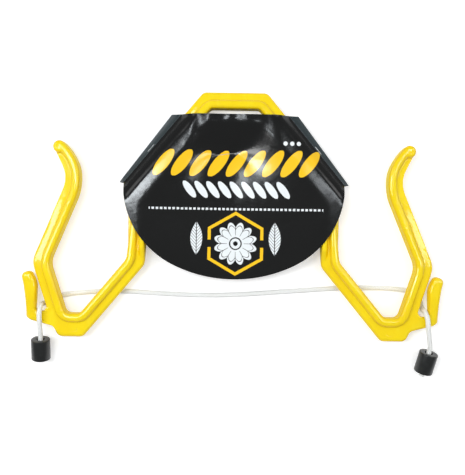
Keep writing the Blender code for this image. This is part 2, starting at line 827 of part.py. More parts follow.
def sleeve_outline():
    """The outline of a card panel, clockwise: top edge, seams and the rounded flap below."""
    _, upper, lower = sleeve_lines()
    flap_centre = Vector((0, SHOULDER.y - SLEEVE_FLAP_DROP + SLEEVE_FLAP_RADIUS))
    side_x = lower.x - SLEEVE_FOOT_NOTCH - SLEEVE_SIDE_RADIUS
    reach = SLEEVE_FLAP_RADIUS - SLEEVE_SIDE_RADIUS
    side_centre = flap_centre + Vector((side_x, -math.sqrt(reach**2 - side_x**2)))
    change = math.degrees(math.atan2(side_x, flap_centre.y - side_centre.y))
    right = [upper, lower]
    for step in range(7):
        angle = math.radians(90 + (90 - change) * step / 6)
        right.append(side_centre + Vector((math.sin(angle), math.cos(angle))) * SLEEVE_SIDE_RADIUS)
    for step in range(1, 5):
        angle = math.radians(180 - change * (1 - step / 4))
        right.append(flap_centre + Vector((math.sin(angle), math.cos(angle))) * SLEEVE_FLAP_RADIUS)
    left = [Vector((-point.x, point.y)) for point in reversed(right[:-1])]
    return right + left


def crown_distance(point):
    """How far a point of the plan lies from the crown of the centre staple."""
    centre = CENTRE_STAPLE
    along = heading_vector(90 - CENTRE_STAPLE_TURN)
    reach = Vector(point) - centre
    share = max(-CENTRE_STAPLE_CROWN / 2, min(CENTRE_STAPLE_CROWN / 2, reach.dot(along)))
    return (reach - along * share).length


def card_height(point, crest):
    """Height of a panel's inner face off the middle: flat seams, a crest over the bars, a dimple."""
    inside = SLANT_OUTER.inside((abs(point[0]), point[1]))
    seam = GAP / 2 + max(0.0, inside + SLEEVE_CREASE) * SLEEVE_SLOPE
    share = (crown_distance(point) - DIMPLE_FLAT) / DIMPLE_RADIUS
    share = max(0.0, min(1.0, share))
    dimple = GAP / 2 + (crest - GAP / 2) * share * share * (3 - 2 * share)
    return min(crest, seam, dimple)


def panel_feature_lines(crest):
    """Plan lines on which a panel's slope changes: creases beside the seams and rings of the dimple."""
    top, _, lower = sleeve_lines()
    lines = []
    crest_inside = crest / SLEEVE_SLOPE - SLEEVE_CREASE
    for inside in (-SLEEVE_CREASE, crest_inside):
        crease = SLANT_OUTER.offset(inside)
        above = crease.at_height(top.point.y + CARD_THICKNESS)
        right = [above, crease.at_height(lower.y - SLEEVE_CREASE_RUN)]
        lines.append(right)
        lines.append([Vector((-point.x, point.y)) for point in right])
    centre = CENTRE_STAPLE
    along = heading_vector(90 - CENTRE_STAPLE_TURN)
    across = heading_vector(-CENTRE_STAPLE_TURN)
    for share in (0.0, 0.25, 0.5, 0.75, 1.0):
        radius = DIMPLE_FLAT + DIMPLE_RADIUS * share
        steps = 8
        ring = []
        for end in (1, -1):
            for step in range(steps // 2 + 1):
                angle = math.pi / 2 - math.pi * step / (steps // 2)
                spot = centre + along * end * (CENTRE_STAPLE_CROWN / 2 + radius * math.cos(angle))
                ring.append(spot + across * end * radius * math.sin(angle))
        lines.append(ring + ring[:1])
    return lines


def build_panel(face, crest):
    """A bmesh builder for one card panel's inner surface. Face is 1 for the front, -1 for the back."""

    def build(work):
        outline = sleeve_outline()
        points = list(outline)
        count = len(outline)
        edges = [(index, (index + 1) % count) for index in range(count)]
        for line in panel_feature_lines(crest):
            start = len(points)
            points += line
            edges += [(start + index, start + index + 1) for index in range(len(line) - 1)]
        verts, _, faces, *_ = delaunay_2d_cdt(points, edges, [list(range(count))], 1, 1e-6)
        made = []
        for point in verts:
            height = card_height(point, crest)
            made.append(work.verts.new((point.x, point.y, MIDDLE + face * height)))
        for corners in faces:
            work.faces.new([made[index] for index in corners])

    return build


def make_panel(name, face, crest, material):
    """One card panel, thickened outwards, with holes for the staple legs."""
    work = bmesh.new()
    build_panel(face, crest)(work)
    work.normal_update()
    for side in work.faces:
        if side.normal.z * face < 0:
            side.normal_flip()
    loose = [vert for vert in work.verts if not vert.link_faces]
    bmesh.ops.delete(work, geom=loose, context="VERTS")
    mesh = bpy.data.meshes.new(name)
    work.to_mesh(mesh)
    work.free()
    mesh.shade_smooth()
    panel = add_object(name, mesh, material)
    shell = panel.modifiers.new("card", "SOLIDIFY")
    shell.thickness = CARD_THICKNESS
    shell.offset = 1.0
    shell.use_even_offset = True
    holes = panel.modifiers.new("staple_holes", "BOOLEAN")
    holes.operation = "DIFFERENCE"
    holes.operand_type = "COLLECTION"
    holes.collection = bpy.data.collections["staple_hole_cutters"]
    holes.solver = "EXACT"
    return panel


# Staples


def staple_places():
    """Name, plan place, heading of the crown and crown length of each staple."""
    spot = SLANT_OUTER.offset(-SIDE_STAPLE_SETBACK).at_height(TOP - SIDE_STAPLE_DROP)
    return [
        ("staple_centre", CENTRE_STAPLE, 90 - CENTRE_STAPLE_TURN, CENTRE_STAPLE_CROWN),
        ("staple_right", spot, 180 - SLANT, SIDE_STAPLE_CROWN),
        ("staple_left", Vector((-spot.x, spot.y)), SLANT, SIDE_STAPLE_CROWN),
    ]


def make_hole_cutters():
    """Square cutters through both panels, one round each staple leg."""
    cutters = bpy.data.collections.new("staple_hole_cutters")
    bpy.context.scene.collection.children.link(cutters)
    half = STAPLE_HOLE / 2
    reach = RAIL_HEIGHT / 4
    for name, spot, heading, crown in staple_places():
        for index, end in enumerate((-1, 1)):
            place = spot + heading_vector(heading) * end * (crown / 2 - STAPLE_WIRE / 2)
            rings = []
            for height in (-reach, reach):
                corners = ((-half, -half), (half, -half), (half, half), (-half, half))
                rings.append([(place.x + x, place.y + y, MIDDLE + height) for x, y in corners])
            mesh = mesh_from(lambda work, rings=rings: loft(work, rings), f"{name}_hole_{index}")
            cutter = bpy.data.objects.new(mesh.name, mesh)
            cutters.objects.link(cutter)
            cutter.hide_render = True
            cutter.display_type = "WIRE"


def make_staple(name, spot, heading, crown, material):
    """A wire staple: crown in front, a leg through both panels at each end, clinched behind."""
    along = heading_vector(heading)
    half = crown / 2 - STAPLE_WIRE / 2
    front = MIDDLE + GAP / 2 + CARD_THICKNESS + GAP + STAPLE_WIRE / 2
    back = 2 * MIDDLE - front
    bend = STAPLE_LEG_BEND
    shape = [
        (half - STAPLE_CLINCH, back),
        (half - bend, back),
        (half, back + bend),
        (half, front - bend),
        (half - bend, front),
    ]
    shape += [(-reach, height) for reach, height in reversed(shape)]
    curve = bpy.data.curves.new(name, "CURVE")
    curve.dimensions = "3D"
    curve.bevel_depth = STAPLE_WIRE / 2
    curve.bevel_resolution = 1
    curve.use_fill_caps = True
    curve.materials.append(material)
    spline = curve.splines.new("POLY")
    spline.points.add(len(shape) - 1)
    for slot, (reach, height) in zip(spline.points, shape):
        place = along * reach
        slot.co = (place.x, place.y, height - MIDDLE, 1.0)
    item = bpy.data.objects.new(name, curve)
    item.location = (spot.x, spot.y, MIDDLE)
    bpy.context.scene.collection.objects.link(item)
    return item


def main():
    """Build the whole restrainer."""
    for item in list(bpy.data.objects):
        bpy.data.objects.remove(item, do_unlink=True)
    yellow = make_material("yellow_plastic", (0.95, 0.66, 0.005), 0.32)
    white = make_material("white_braid", (0.86, 0.86, 0.83), 0.85)
    rubber = make_material("black_rubber", (0.012, 0.012, 0.012), 0.55)
    card = make_material("black_card", (0.012, 0.012, 0.014), 0.25)
    steel = make_material("staple_steel", (0.62, 0.62, 0.63), 0.3, 1.0)
    make_frame(yellow)
    make_cord("neck_cord", neck_cord_points(), white)
    for side in SIDES:
        make_tail(side, white, rubber)
    make_hole_cutters()
    front_crest = RAIL_HEIGHT / 2 + GAP
    back_crest = MIDDLE - CARD_THICKNESS
    make_panel("card_front", 1, front_crest, card)
    make_panel("card_back", -1, back_crest, card)
    for name, spot, heading, crown in staple_places():
        make_staple(name, spot, heading, crown, steel)


main()
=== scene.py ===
"""Dressed model of a sheep restrainer, lying on its back on a pale floor.

A yellow moulded neck and leg frame carries a white braided cord with a rubber stopper at each
end. A black laminated card sleeve is stapled round its neck arch.
Metres. +X is to the right, +Y towards the top of the arch and +Z up, out of the floor.
Headings in the plan are compass headings in degrees: 0 along +Y, 90 along +X.
"""

import logging
import math
from collections.abc import Callable, Sequence
from dataclasses import dataclass
from enum import Enum

import bmesh
import bpy
import numpy
from mathutils import Matrix, Vector
from mathutils.geometry import delaunay_2d_cdt


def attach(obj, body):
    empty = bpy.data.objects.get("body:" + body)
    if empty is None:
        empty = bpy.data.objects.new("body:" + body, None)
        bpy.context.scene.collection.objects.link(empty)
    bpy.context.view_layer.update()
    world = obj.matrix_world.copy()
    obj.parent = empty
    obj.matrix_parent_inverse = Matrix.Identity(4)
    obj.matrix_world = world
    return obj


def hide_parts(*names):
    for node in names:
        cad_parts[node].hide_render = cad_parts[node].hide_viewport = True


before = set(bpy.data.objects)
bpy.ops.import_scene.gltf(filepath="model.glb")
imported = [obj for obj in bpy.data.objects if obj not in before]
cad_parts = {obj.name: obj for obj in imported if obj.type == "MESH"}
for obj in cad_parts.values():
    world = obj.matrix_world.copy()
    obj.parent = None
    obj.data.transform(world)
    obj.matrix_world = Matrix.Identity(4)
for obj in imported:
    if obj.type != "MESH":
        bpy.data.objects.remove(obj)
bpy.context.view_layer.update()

log = logging.getLogger("restrainer")


# Types that many functions take

Item = bpy.types.Object
Material = bpy.types.Material
Socket = bpy.types.NodeSocket
Rgba = tuple[float, float, float, float]
Place = tuple[float, float, float]


# Sizes that several pieces share

CORD_DIAMETER = 0.0055
GAP = 0.0003
RAIL_HEIGHT = 0.020
BAR_WIDTH = 0.0190
STOPPER_LENGTH = 0.0235
STOPPER_DIAMETER = 0.021
FRAME_LENGTH = 0.2757
SLANT = 39.6
MIDDLE = CORD_DIAMETER + GAP + RAIL_HEIGHT / 2
TOP = FRAME_LENGTH / 2
FOOT = -FRAME_LENGTH / 2


# How finely outlines are drawn: places closer than this are one, and degrees for each segment

SAME_PLACE = 1e-6
SEGMENT_TURN = 7


class Side(Enum):
    """A half of the restrainer, by the sign of its X."""

    LEFT = -1
    RIGHT = 1

    @property
    def word(self) -> str:
        """The side's name in small letters, as in the model's node names."""
        return self.name.lower()


class Kind(Enum):
    """What a selection in edit mode is made of."""

    VERTEX = "VERT"
    EDGE = "EDGE"
    FACE = "FACE"


class Face(Enum):
    """A panel of the card sleeve, by the sign of its height over the middle of the frame."""

    FRONT = 1
    BACK = -1


# Plan geometry


def heading_vector(heading: float) -> Vector:
    """Unit vector in the plan for a compass heading in degrees."""
    angle = math.radians(heading)
    return Vector((math.sin(angle), math.cos(angle)))


class Line:
    """A straight line in the plan, through a point on a compass heading."""

    def __init__(self, point: Sequence[float], heading: float) -> None:
        """Keeps the line's point and works out its directions."""
        self.point = Vector(point)
        self.heading = heading
        self.along = heading_vector(heading)
        self.right = heading_vector(heading + 90)

    def offset(self, distance: float) -> "Line":
        """The parallel line at a distance to the right."""
        return Line(self.point + self.right * distance, self.heading)

    def at(self, distance: float) -> Vector:
        """The point at a distance along the line."""
        return self.point + self.along * distance

    def at_height(self, y: float) -> Vector:
        """The point of the line at one Y."""
        return self.at((y - self.point.y) / self.along.y)

    def meet(self, other: "Line") -> Vector:
        """The point where the line crosses another one."""
        reach = other.point - self.point
        turn = self.along.x * other.along.y - self.along.y * other.along.x
        return self.at((reach.x * other.along.y - reach.y * other.along.x) / turn)

    def inside(self, x: float, y: float) -> float:
        """How far a place lies to the right of the line."""
        return (Vector((x, y)) - self.point).dot(self.right)


@dataclass(frozen=True)
class Corner:
    """A corner of an outline or path in the plan, with the radius that rounds it."""

    point: Vector
    radius: float = 0.0


def beside(corners: Sequence[Corner], distances: Sequence[float]) -> list[Corner]:
    """Moves an open chain of corners to its right.

    Args:
        corners: The chain, in order.
        distances: How far each corner moves; below zero it moves to the left.

    Returns:
        The moved chain, with each radius grown or shrunk to suit.
    """
    moved = []
    for index, corner in enumerate(corners):
        before = corners[max(index - 1, 0)].point
        after = corners[min(index + 1, len(corners) - 1)].point
        arriving = (corner.point - before).normalized() if index else (after - corner.point).normalized()
        leaving = (after - corner.point).normalized() if index + 1 < len(corners) else arriving
        turn = arriving.x * leaving.y - arriving.y * leaving.x
        right_before = Vector((arriving.y, -arriving.x))
        right_after = Vector((leaving.y, -leaving.x))
        shift = (right_before + right_after) / (1 + right_before.dot(right_after))
        distance = distances[index]
        radius = corner.radius
        if radius and 0 < index < len(corners) - 1:
            radius = max(0.0, radius + math.copysign(1, turn) * distance)
        moved.append(Corner(corner.point + shift * distance, radius))
    return moved


def both_sides(path: Sequence[Corner], half_widths: Sequence[float]) -> list[Corner]:
    """The closed outline of a bar that runs along a path.

    Args:
        path: The corners of the bar's middle line.
        half_widths: Half the bar's width at each corner.

    Returns:
        The outline, down one side and back along the other.
    """
    right = beside(path, half_widths)
    left = beside(path, [-width for width in half_widths])
    return left + right[::-1]


def split_sharp(corners: Sequence[Corner], most: float = 40.0) -> list[Corner]:
    """Replaces each sharp rounded corner by gentler ones on tangents of the same arc.

    Args:
        corners: A closed outline.
        most: The largest turn in degrees that one corner keeps.

    Returns:
        The outline, which rounds to the same shape.
    """
    result = []
    for index, corner in enumerate(corners):
        to_before = (corners[index - 1].point - corner.point).normalized()
        to_after = (corners[(index + 1) % len(corners)].point - corner.point).normalized()
        turn = math.pi - to_before.angle(to_after)
        count = math.ceil(math.degrees(turn) / most)
        if corner.radius <= 0 or count < 2:
            result.append(corner)
            continue
        side = math.copysign(1, to_before.y * to_after.x - to_before.x * to_after.y)
        point = corner.point + to_before * corner.radius * math.tan(turn / 2)
        along = -to_before
        step = corner.radius * math.tan(turn / count / 2)
        for _ in range(count):
            point = point + along * step
            result.append(Corner(point, corner.radius))
            along = Matrix.Rotation(side * turn / count, 2) @ along
            point = point + along * step
    return result


@dataclass
class FramePlan:
    """The lines of the right half of the moulding, seen from above."""

    arch_top_width: float = 0.0716
    neck_width: float = 0.1962
    leg_width: float = 0.0203
    leg_foot_height: float = 0.0877
    hook_floor_height: float = 0.0264
    hook_floor_width: float = 0.0165
    hook_lower_heading: float = 18.5
    hook_kink_height: float = 0.0832
    hook_upper_heading: float = -22.4
    hook_upper_length: float = 0.1174
    tip_heading: float = 50.0
    tip_length: float = 0.0398
    tip_radius: float = 0.0069
    tip_back_heading: float = 26.0
    pad_width: float = 0.0277
    step_heading: float = 27.0
    step_height: float = 0.0113
    base_heading: float = 75.4
    throat_height: float = 0.0587
    throat_width: float = 0.0017
    pocket_depth: float = 0.0302

    def __post_init__(self) -> None:
        """Works out each line from the sizes."""
        self.top_outer = Line((0, TOP), 90)
        self.top_inner = self.top_outer.offset(BAR_WIDTH)
        self.slant_outer = Line((self.arch_top_width / 2, TOP), 180 - SLANT)
        self.slant_inner = self.slant_outer.offset(BAR_WIDTH)
        self.leg_outer = Line((self.neck_width / 2 + self.leg_width, 0), 180)
        self.leg_inner = Line((self.neck_width / 2, 0), 180)
        self.shoulder = self.slant_outer.meet(self.leg_outer)
        self.splay_hook = Line((self.leg_outer.point.x, FOOT + self.leg_foot_height), 180 - SLANT)
        self.splay_neck = self.splay_hook.offset(BAR_WIDTH)
        self.hook_floor = Line((0, FOOT + self.hook_floor_height), 90)
        floor_end = self.hook_floor.meet(self.splay_hook) + Vector((self.hook_floor_width, 0))
        self.hook_lower = Line(floor_end, self.hook_lower_heading)
        kink = self.hook_lower.at_height(FOOT + self.hook_kink_height)
        self.hook_upper = Line(kink, self.hook_upper_heading)
        self.tip = Line(self.hook_upper.at(self.hook_upper_length), self.tip_heading)
        self.tip_centre = self.tip.at(self.tip_length) + self.tip.right * self.tip_radius
        back = self.tip_centre + heading_vector(self.tip_back_heading + 90) * self.tip_radius
        self.tip_back = Line(back, self.tip_back_heading)
        self.hook_upper_outer = self.hook_upper.offset(BAR_WIDTH)
        self.hook_lower_outer = self.hook_lower.offset(BAR_WIDTH)
        self.pad_foot = Line((0, FOOT), 270)
        self.pad_start = self.pad_foot.meet(self.splay_neck)
        self.pad_step = Line(self.pad_start + Vector((self.pad_width, 0)), self.step_heading)
        self.base_edge = Line(self.pad_step.at_height(FOOT + self.step_height), self.base_heading)
        self.throat = self.hook_lower_outer.at_height(FOOT + self.throat_height)
        self.pocket_floor = Line((0, self.throat.y - self.pocket_depth), 90)
        self.finger_side = self.throat.x + self.throat_width


PLAN = FramePlan()


# Shader maths


class Level:
    """A number in a shader: a socket that takes Python's operators."""

    def __init__(self, shading: "Shading", socket: Socket) -> None:
        """Wraps a socket of one material."""
        self.shading = shading
        self.socket = socket

    def _with(self, operation: str, *values: "Level | float") -> "Level":
        """A Math node on some values."""
        return self.shading.math(operation, *values)

    def __add__(self, other: "Level | float") -> "Level":
        """The sum."""
        return self._with("ADD", self, other)

    def __radd__(self, other: float) -> "Level":
        """The sum, with a number first."""
        return self._with("ADD", other, self)

    def __sub__(self, other: "Level | float") -> "Level":
        """The difference."""
        return self._with("SUBTRACT", self, other)

    def __rsub__(self, other: float) -> "Level":
        """The difference from a number."""
        return self._with("SUBTRACT", other, self)

    def __mul__(self, other: "Level | float") -> "Level":
        """The product."""
        return self._with("MULTIPLY", self, other)

    def __rmul__(self, other: float) -> "Level":
        """The product, with a number first."""
        return self._with("MULTIPLY", other, self)

    def __truediv__(self, other: "Level | float") -> "Level":
        """The quotient."""
        return self._with("DIVIDE", self, other)

    def __abs__(self) -> "Level":
        """The size without its sign."""
        return self._with("ABSOLUTE", self)

    def below(self, edge: "Level | float", blur: float) -> "Level":
        """1 where the value is under an edge and 0 over it, with a short ramp between.

        Args:
            edge: The middle of the ramp.
            blur: How wide the ramp is.

        Returns:
            The mask. Its ramp is straight for an edge that varies, and eased for a plain number.
        """
        if isinstance(edge, Level):
            return ((edge - self) / blur + 0.5).clamped()
        ends = {"From Min": edge - blur / 2, "From Max": edge + blur / 2, "To Min": 1.0, "To Max": 0.0}
        eased = {"interpolation_type": "SMOOTHSTEP"}
        node = self.shading.node("ShaderNodeMapRange", eased, {"Value": self, **ends})
        return Level(self.shading, node.outputs["Result"])

    def clamped(self) -> "Level":
        """The value kept between 0 and 1."""
        node = self.shading.node("ShaderNodeClamp", {}, {"Value": self})
        return Level(self.shading, node.outputs["Result"])

    def sine(self) -> "Level":
        """The sine of an angle in radians."""
        return self._with("SINE", self)

    def root(self) -> "Level":
        """The square root."""
        return self._with("SQRT", self)

    def angle_from(self, other: "Level") -> "Level":
        """The angle whose tangent is this value over another one, in radians."""
        return self._with("ARCTAN2", self, other)

    def wave(self, period: float) -> "Level":
        """Distance to the nearest multiple of a period, from 0 to half of it."""
        return self._with("PINGPONG", self, period / 2)

    def least(self, other: "Level | float") -> "Level":
        """The smaller of two values."""
        return self._with("MINIMUM", self, other)

    def most(self, other: "Level | float") -> "Level":
        """The larger of two values."""
        return self._with("MAXIMUM", self, other)


class Shading:
    """The nodes of one material, and the ways to add to them."""

    def __init__(self, name: str) -> None:
        """Starts a material with its main shader, and its place: the metres of the whole model."""
        self.material = bpy.data.materials.new(name)
        self.material.use_nodes = True
        self.tree = self.material.node_tree
        self.shader = self.tree.nodes["Principled BSDF"]
        self.place = self.node("ShaderNodeTexCoord", {}, {}).outputs["Object"]

    def node(self, kind: str, settings: dict, inputs: dict) -> bpy.types.Node:
        """Adds one node.

        Args:
            kind: The node's type.
            settings: Its own settings, set first.
            inputs: A value or a link for each socket, by name or number.

        Returns:
            The new node.
        """
        made = self.tree.nodes.new(kind)
        for name, value in settings.items():
            setattr(made, name, value)
        for name, value in inputs.items():
            socket = made.inputs[name]
            if isinstance(value, Level):
                value = value.socket
            if isinstance(value, Socket):
                self.tree.links.new(value, socket)
            else:
                socket.default_value = value
        return made

    def math(self, operation: str, *values: "Level | float") -> Level:
        """A Math node on values or links."""
        made = self.node("ShaderNodeMath", {"operation": operation}, dict(enumerate(values)))
        return Level(self, made.outputs[0])

    def axes(self, place: Socket) -> tuple[Level, Level, Level]:
        """X, Y and Z of a place."""
        parts = self.node("ShaderNodeSeparateXYZ", {}, {"Vector": place})
        return tuple(Level(self, parts.outputs[name]) for name in "XYZ")

    def noise(self, place: Socket, scale: float, detail: float = 3.0, rough: float = 0.5) -> Level:
        """Noise from 0 to 1 at a scale per metre, with its finer layers and how strong they are."""
        inputs = {"Vector": place, "Scale": scale, "Detail": detail, "Roughness": rough}
        return Level(self, self.node("ShaderNodeTexNoise", {}, inputs).outputs["Fac"])

    def spots(self, place: Socket, scale: float) -> Level:
        """Distance to the nearest of scattered points, at a scale per metre."""
        made = self.node("ShaderNodeTexVoronoi", {}, {"Vector": place, "Scale": scale})
        return Level(self, made.outputs["Distance"])

    def stretched(self, turn: float, squeeze: float) -> Socket:
        """The place turned in the plan by degrees, then squeezed along Y, for grain that runs one way."""
        turned = (0.0, 0.0, math.radians(turn))
        inputs = {"Vector": self.place, "Rotation": turned, "Scale": (1.0, squeeze, 1.0)}
        return self.node("ShaderNodeMapping", {}, inputs).outputs["Vector"]

    def mix(self, share: "Level | float", first: object, second: object) -> Socket:
        """A colour between two colours or links: the first at share 0."""
        inputs = {"Factor": share, 6: first, 7: second}
        return self.node("ShaderNodeMix", {"data_type": "RGBA"}, inputs).outputs[2]

    def surface(self, tone: Socket, roughness: Level, height: Level, depth: float) -> None:
        """Gives the main shader what changes over the surface.

        Args:
            tone: Its colour.
            roughness: Its roughness.
            height: Its relief, from 0 to 1.
            depth: The metres that the relief stands for.
        """
        relief = {"Height": height, "Distance": depth, "Strength": 1.0}
        normal = self.node("ShaderNodeBump", {}, relief).outputs["Normal"]
        self.wire({"Base Color": tone, "Roughness": roughness, "Normal": normal})

    def wire(self, links: dict) -> None:
        """Links sockets into the main shader, by the names of its inputs."""
        for name, value in links.items():
            socket = value.socket if isinstance(value, Level) else value
            self.tree.links.new(socket, self.shader.inputs[name])

    def fix(self, values: dict) -> None:
        """Sets plain values on the main shader, by the names of its inputs."""
        for name, value in values.items():
            self.shader.inputs[name].default_value = value


def colour(red: int, green: int, blue: int) -> Rgba:
    """A linear colour from what a screen shows.

    Args:
        red: The screen's red, from 0 to 255.
        green: Its green.
        blue: Its blue.

    Returns:
        The colour, opaque.
    """
    parts = []
    for part in (red, green, blue):
        share = part / 255
        parts.append(share / 12.92 if share <= 0.04045 else ((share + 0.055) / 1.055) ** 2.4)
    return (*parts, 1.0)


# Finishes


@dataclass(frozen=True)
class PlasticFinish:
    """Glossy injection-moulded plastic with faint flow marks. Its upright walls are duller, and its
    sloping flanks carry painted shade, a darker gold.
    """

    name: str = "yellow_moulded_plastic"
    base: Rgba = colour(252, 225, 14)
    deep: Rgba = colour(247, 212, 6)
    pale: Rgba = colour(255, 236, 48)
    # painted shade: the darker gold of sloping flanks and grooves
    flanks: Rgba = colour(240, 188, 10)
    flow_scale: float = 42.0
    flow_turn: float = 32.0
    streak_scale: float = 126.0
    streak_turn: float = -28.0
    scuff_scale: float = 900.0
    scuff_turn: float = 60.0
    grain_scale: float = 620.0
    grain_depth: float = 0.000012
    ripple_scale: float = 95.0
    ripple_depth: float = 0.00012
    wall_level: float = 0.27
    wall_blur: float = 0.30
    flank_level: float = 0.76
    flank_blur: float = 0.36
    flank_tint: float = 0.55
    gloss: float = 0.06
    wall_dullness: float = 0.5
    ejector_x: float = 0.1762
    ejector_y: float = -0.1278
    ejector_radius: float = 0.0042
    ejector_edge: float = 0.0006

    def material(self) -> Material:
        """Builds the plastic's nodes."""
        shading = Shading(self.name)
        flow = shading.noise(shading.stretched(self.flow_turn, 0.45), self.flow_scale, 4.0, 0.55)
        streaks = shading.noise(shading.stretched(self.streak_turn, 0.25), self.streak_scale, 2.0)
        scuffs = shading.noise(shading.stretched(self.scuff_turn, 0.06), self.scuff_scale, 2.0)
        ripple = shading.noise(shading.place, self.ripple_scale, 2.0)
        grain = shading.noise(shading.place, self.grain_scale, 2.0)
        marks = shading.node("ShaderNodeAttribute", {"attribute_name": "level"}, {})
        level = Level(shading, marks.outputs["Fac"])
        wall = level.below(self.wall_level, self.wall_blur)
        shaded_flank = level.below(self.flank_level, self.flank_blur) * (1 - wall)
        tone = shading.mix((flow * 1.8 - 0.4).clamped(), self.deep, self.base)
        tone = shading.mix(((streaks - 0.55) * 1.6).clamped(), tone, self.pale)
        # painted shade: sloping flanks, round the rails and in their grooves, are tinted a darker gold
        tone = shading.mix(shaded_flank * self.flank_tint, tone, self.flanks)
        x, y, _ = shading.axes(shading.place)
        aside = abs(x) - self.ejector_x
        along = y - self.ejector_y
        disc = (aside * aside + along * along).root().below(self.ejector_radius, self.ejector_edge)
        height = ripple * 0.8 + grain * (self.grain_depth / self.ripple_depth) - disc
        scuffed = (scuffs - 0.62).most(0.0) * 0.8
        roughness = self.gloss + flow * 0.04 + scuffed + wall * self.wall_dullness
        shading.surface(tone, roughness, height, self.ripple_depth)
        shading.fix({"IOR": 1.5, "Specular IOR Level": 0.46})
        return shading.material


@dataclass(frozen=True)
class BraidFinish:
    """White braided polyester: crossing strands of fine yarn, with painted shade in the grooves between
    them. Its UV map counts strands and picks.
    """

    name: str = "white_braided_cord"
    yarn: Rgba = colour(255, 255, 253)
    # painted shade for the grooves between strands
    shade: Rgba = colour(202, 212, 204)
    soil: Rgba = colour(248, 247, 240)
    depth: float = 0.00018
    left_groove: float = 3.4
    right_groove: float = 8.0
    yarns: float = 3.0
    fuzz_scale: float = 2600.0
    stain_scale: float = 55.0

    def material(self) -> Material:
        """Builds the braid's nodes."""
        shading = Shading(self.name)
        weave = shading.node("ShaderNodeUVMap", {"uv_map": "braid"}, {}).outputs["UV"]
        around, along, _ = shading.axes(weave)
        turn = 2 * math.pi
        leftward = ((around + along) * turn).sine()
        rightward = ((around - along) * turn).sine()
        over = (leftward * rightward * 0.5 + 0.5).below(0.5, 0.1)
        strand_edge = (abs(leftward) * self.left_groove).least(abs(rightward) * self.right_groove)
        strand_edge = strand_edge.clamped()
        upper_yarn = ((around - along) * turn * self.yarns).sine() * over
        lower_yarn = ((around + along) * turn * self.yarns).sine() * (1 - over)
        fuzz = shading.noise(shading.place, self.fuzz_scale, 2.0)
        stain = shading.noise(shading.place, self.stain_scale, 4.0)
        height = strand_edge * 0.62 + (upper_yarn + lower_yarn) * 0.12 + fuzz * 0.2
        # painted shade: the grooves between strands are darkened
        tone = shading.mix(strand_edge, self.shade, self.yarn)
        tone = shading.mix(((stain - 0.52) * 1.4).clamped(), tone, self.soil)
        shading.surface(tone, 0.72 + fuzz * 0.2, height, self.depth)
        shading.fix({"Sheen Weight": 0.25, "Sheen Roughness": 0.5})
        return shading.material


@dataclass(frozen=True)
class RubberFinish:
    """Black extruded rubber, cut square, with fine lines along it and dust in its grain."""

    name: str = "black_stopper_rubber"
    base: Rgba = colour(19, 22, 22)
    dust: Rgba = colour(58, 63, 60)
    depth: float = 0.00008
    line_scale: float = 1500.0
    line_squeeze: float = 0.05
    grain_scale: float = 2200.0
    bloom_scale: float = 160.0
    speck_scale: float = 420.0
    speck_size: float = 0.07
    speck_blur: float = 0.06

    def material(self) -> Material:
        """Builds the rubber's nodes."""
        shading = Shading(self.name)
        lines = shading.noise(shading.stretched(0.0, self.line_squeeze), self.line_scale, 2.0)
        grain = shading.noise(shading.place, self.grain_scale, 3.0)
        bloom = shading.noise(shading.place, self.bloom_scale, 4.0)
        specks = shading.spots(shading.place, self.speck_scale).below(self.speck_size, self.speck_blur)
        dusty = ((bloom - 0.5) * 1.5).clamped() * 0.35 + specks * 0.5
        tone = shading.mix(dusty.clamped(), self.base, self.dust)
        shading.surface(tone, 0.26 + bloom * 0.16, lines * 0.6 + grain * 0.4, self.depth)
        return shading.material


@dataclass(frozen=True)
class SteelFinish:
    """Drawn steel wire with fine lines and dull spots."""

    name: str = "staple_steel_wire"
    bright: Rgba = colour(214, 215, 216)
    dull: Rgba = colour(138, 138, 136)
    depth: float = 0.00003
    line_scale: float = 4200.0
    spot_scale: float = 700.0

    def material(self) -> Material:
        """Builds the wire's nodes."""
        shading = Shading(self.name)
        drawn = shading.noise(shading.place, self.line_scale, 2.0)
        spots = shading.noise(shading.place, self.spot_scale, 3.0)
        tone = shading.mix(((spots - 0.5) * 3.0).clamped(), self.bright, self.dull)
        shading.surface(tone, 0.22 + drawn * 0.2, drawn, self.depth)
        shading.fix({"Metallic": 1.0})
        return shading.material


@dataclass(frozen=True)
class LeafRow:
    """A printed row of nine leaning leaves. The lean is how far a leaf moves for its height."""

    level: float
    pitch: float
    half_height: float
    half_width: float
    lean: float
    count: int = 9

    def mask(self, x: Level, y: Level, blur: float) -> Level:
        """Where the leaves are printed.

        Args:
            x: Distance to the right of the print's middle line.
            y: Height in the plan.
            blur: How soft the leaves' edges are.

        Returns:
            The mask.
        """
        above = y - self.level
        height = above / self.half_height
        taper = (1.0 - height * height).most(0.0001).root()
        along = x - above * self.lean
        beyond_row = 1 - abs(along).below(self.pitch * self.count / 2, 0.0001)
        outside = (1 - abs(height).below(0.99, 0.01)).most(beyond_row)
        return (along.wave(self.pitch) / taper + outside).below(self.half_width, blur)


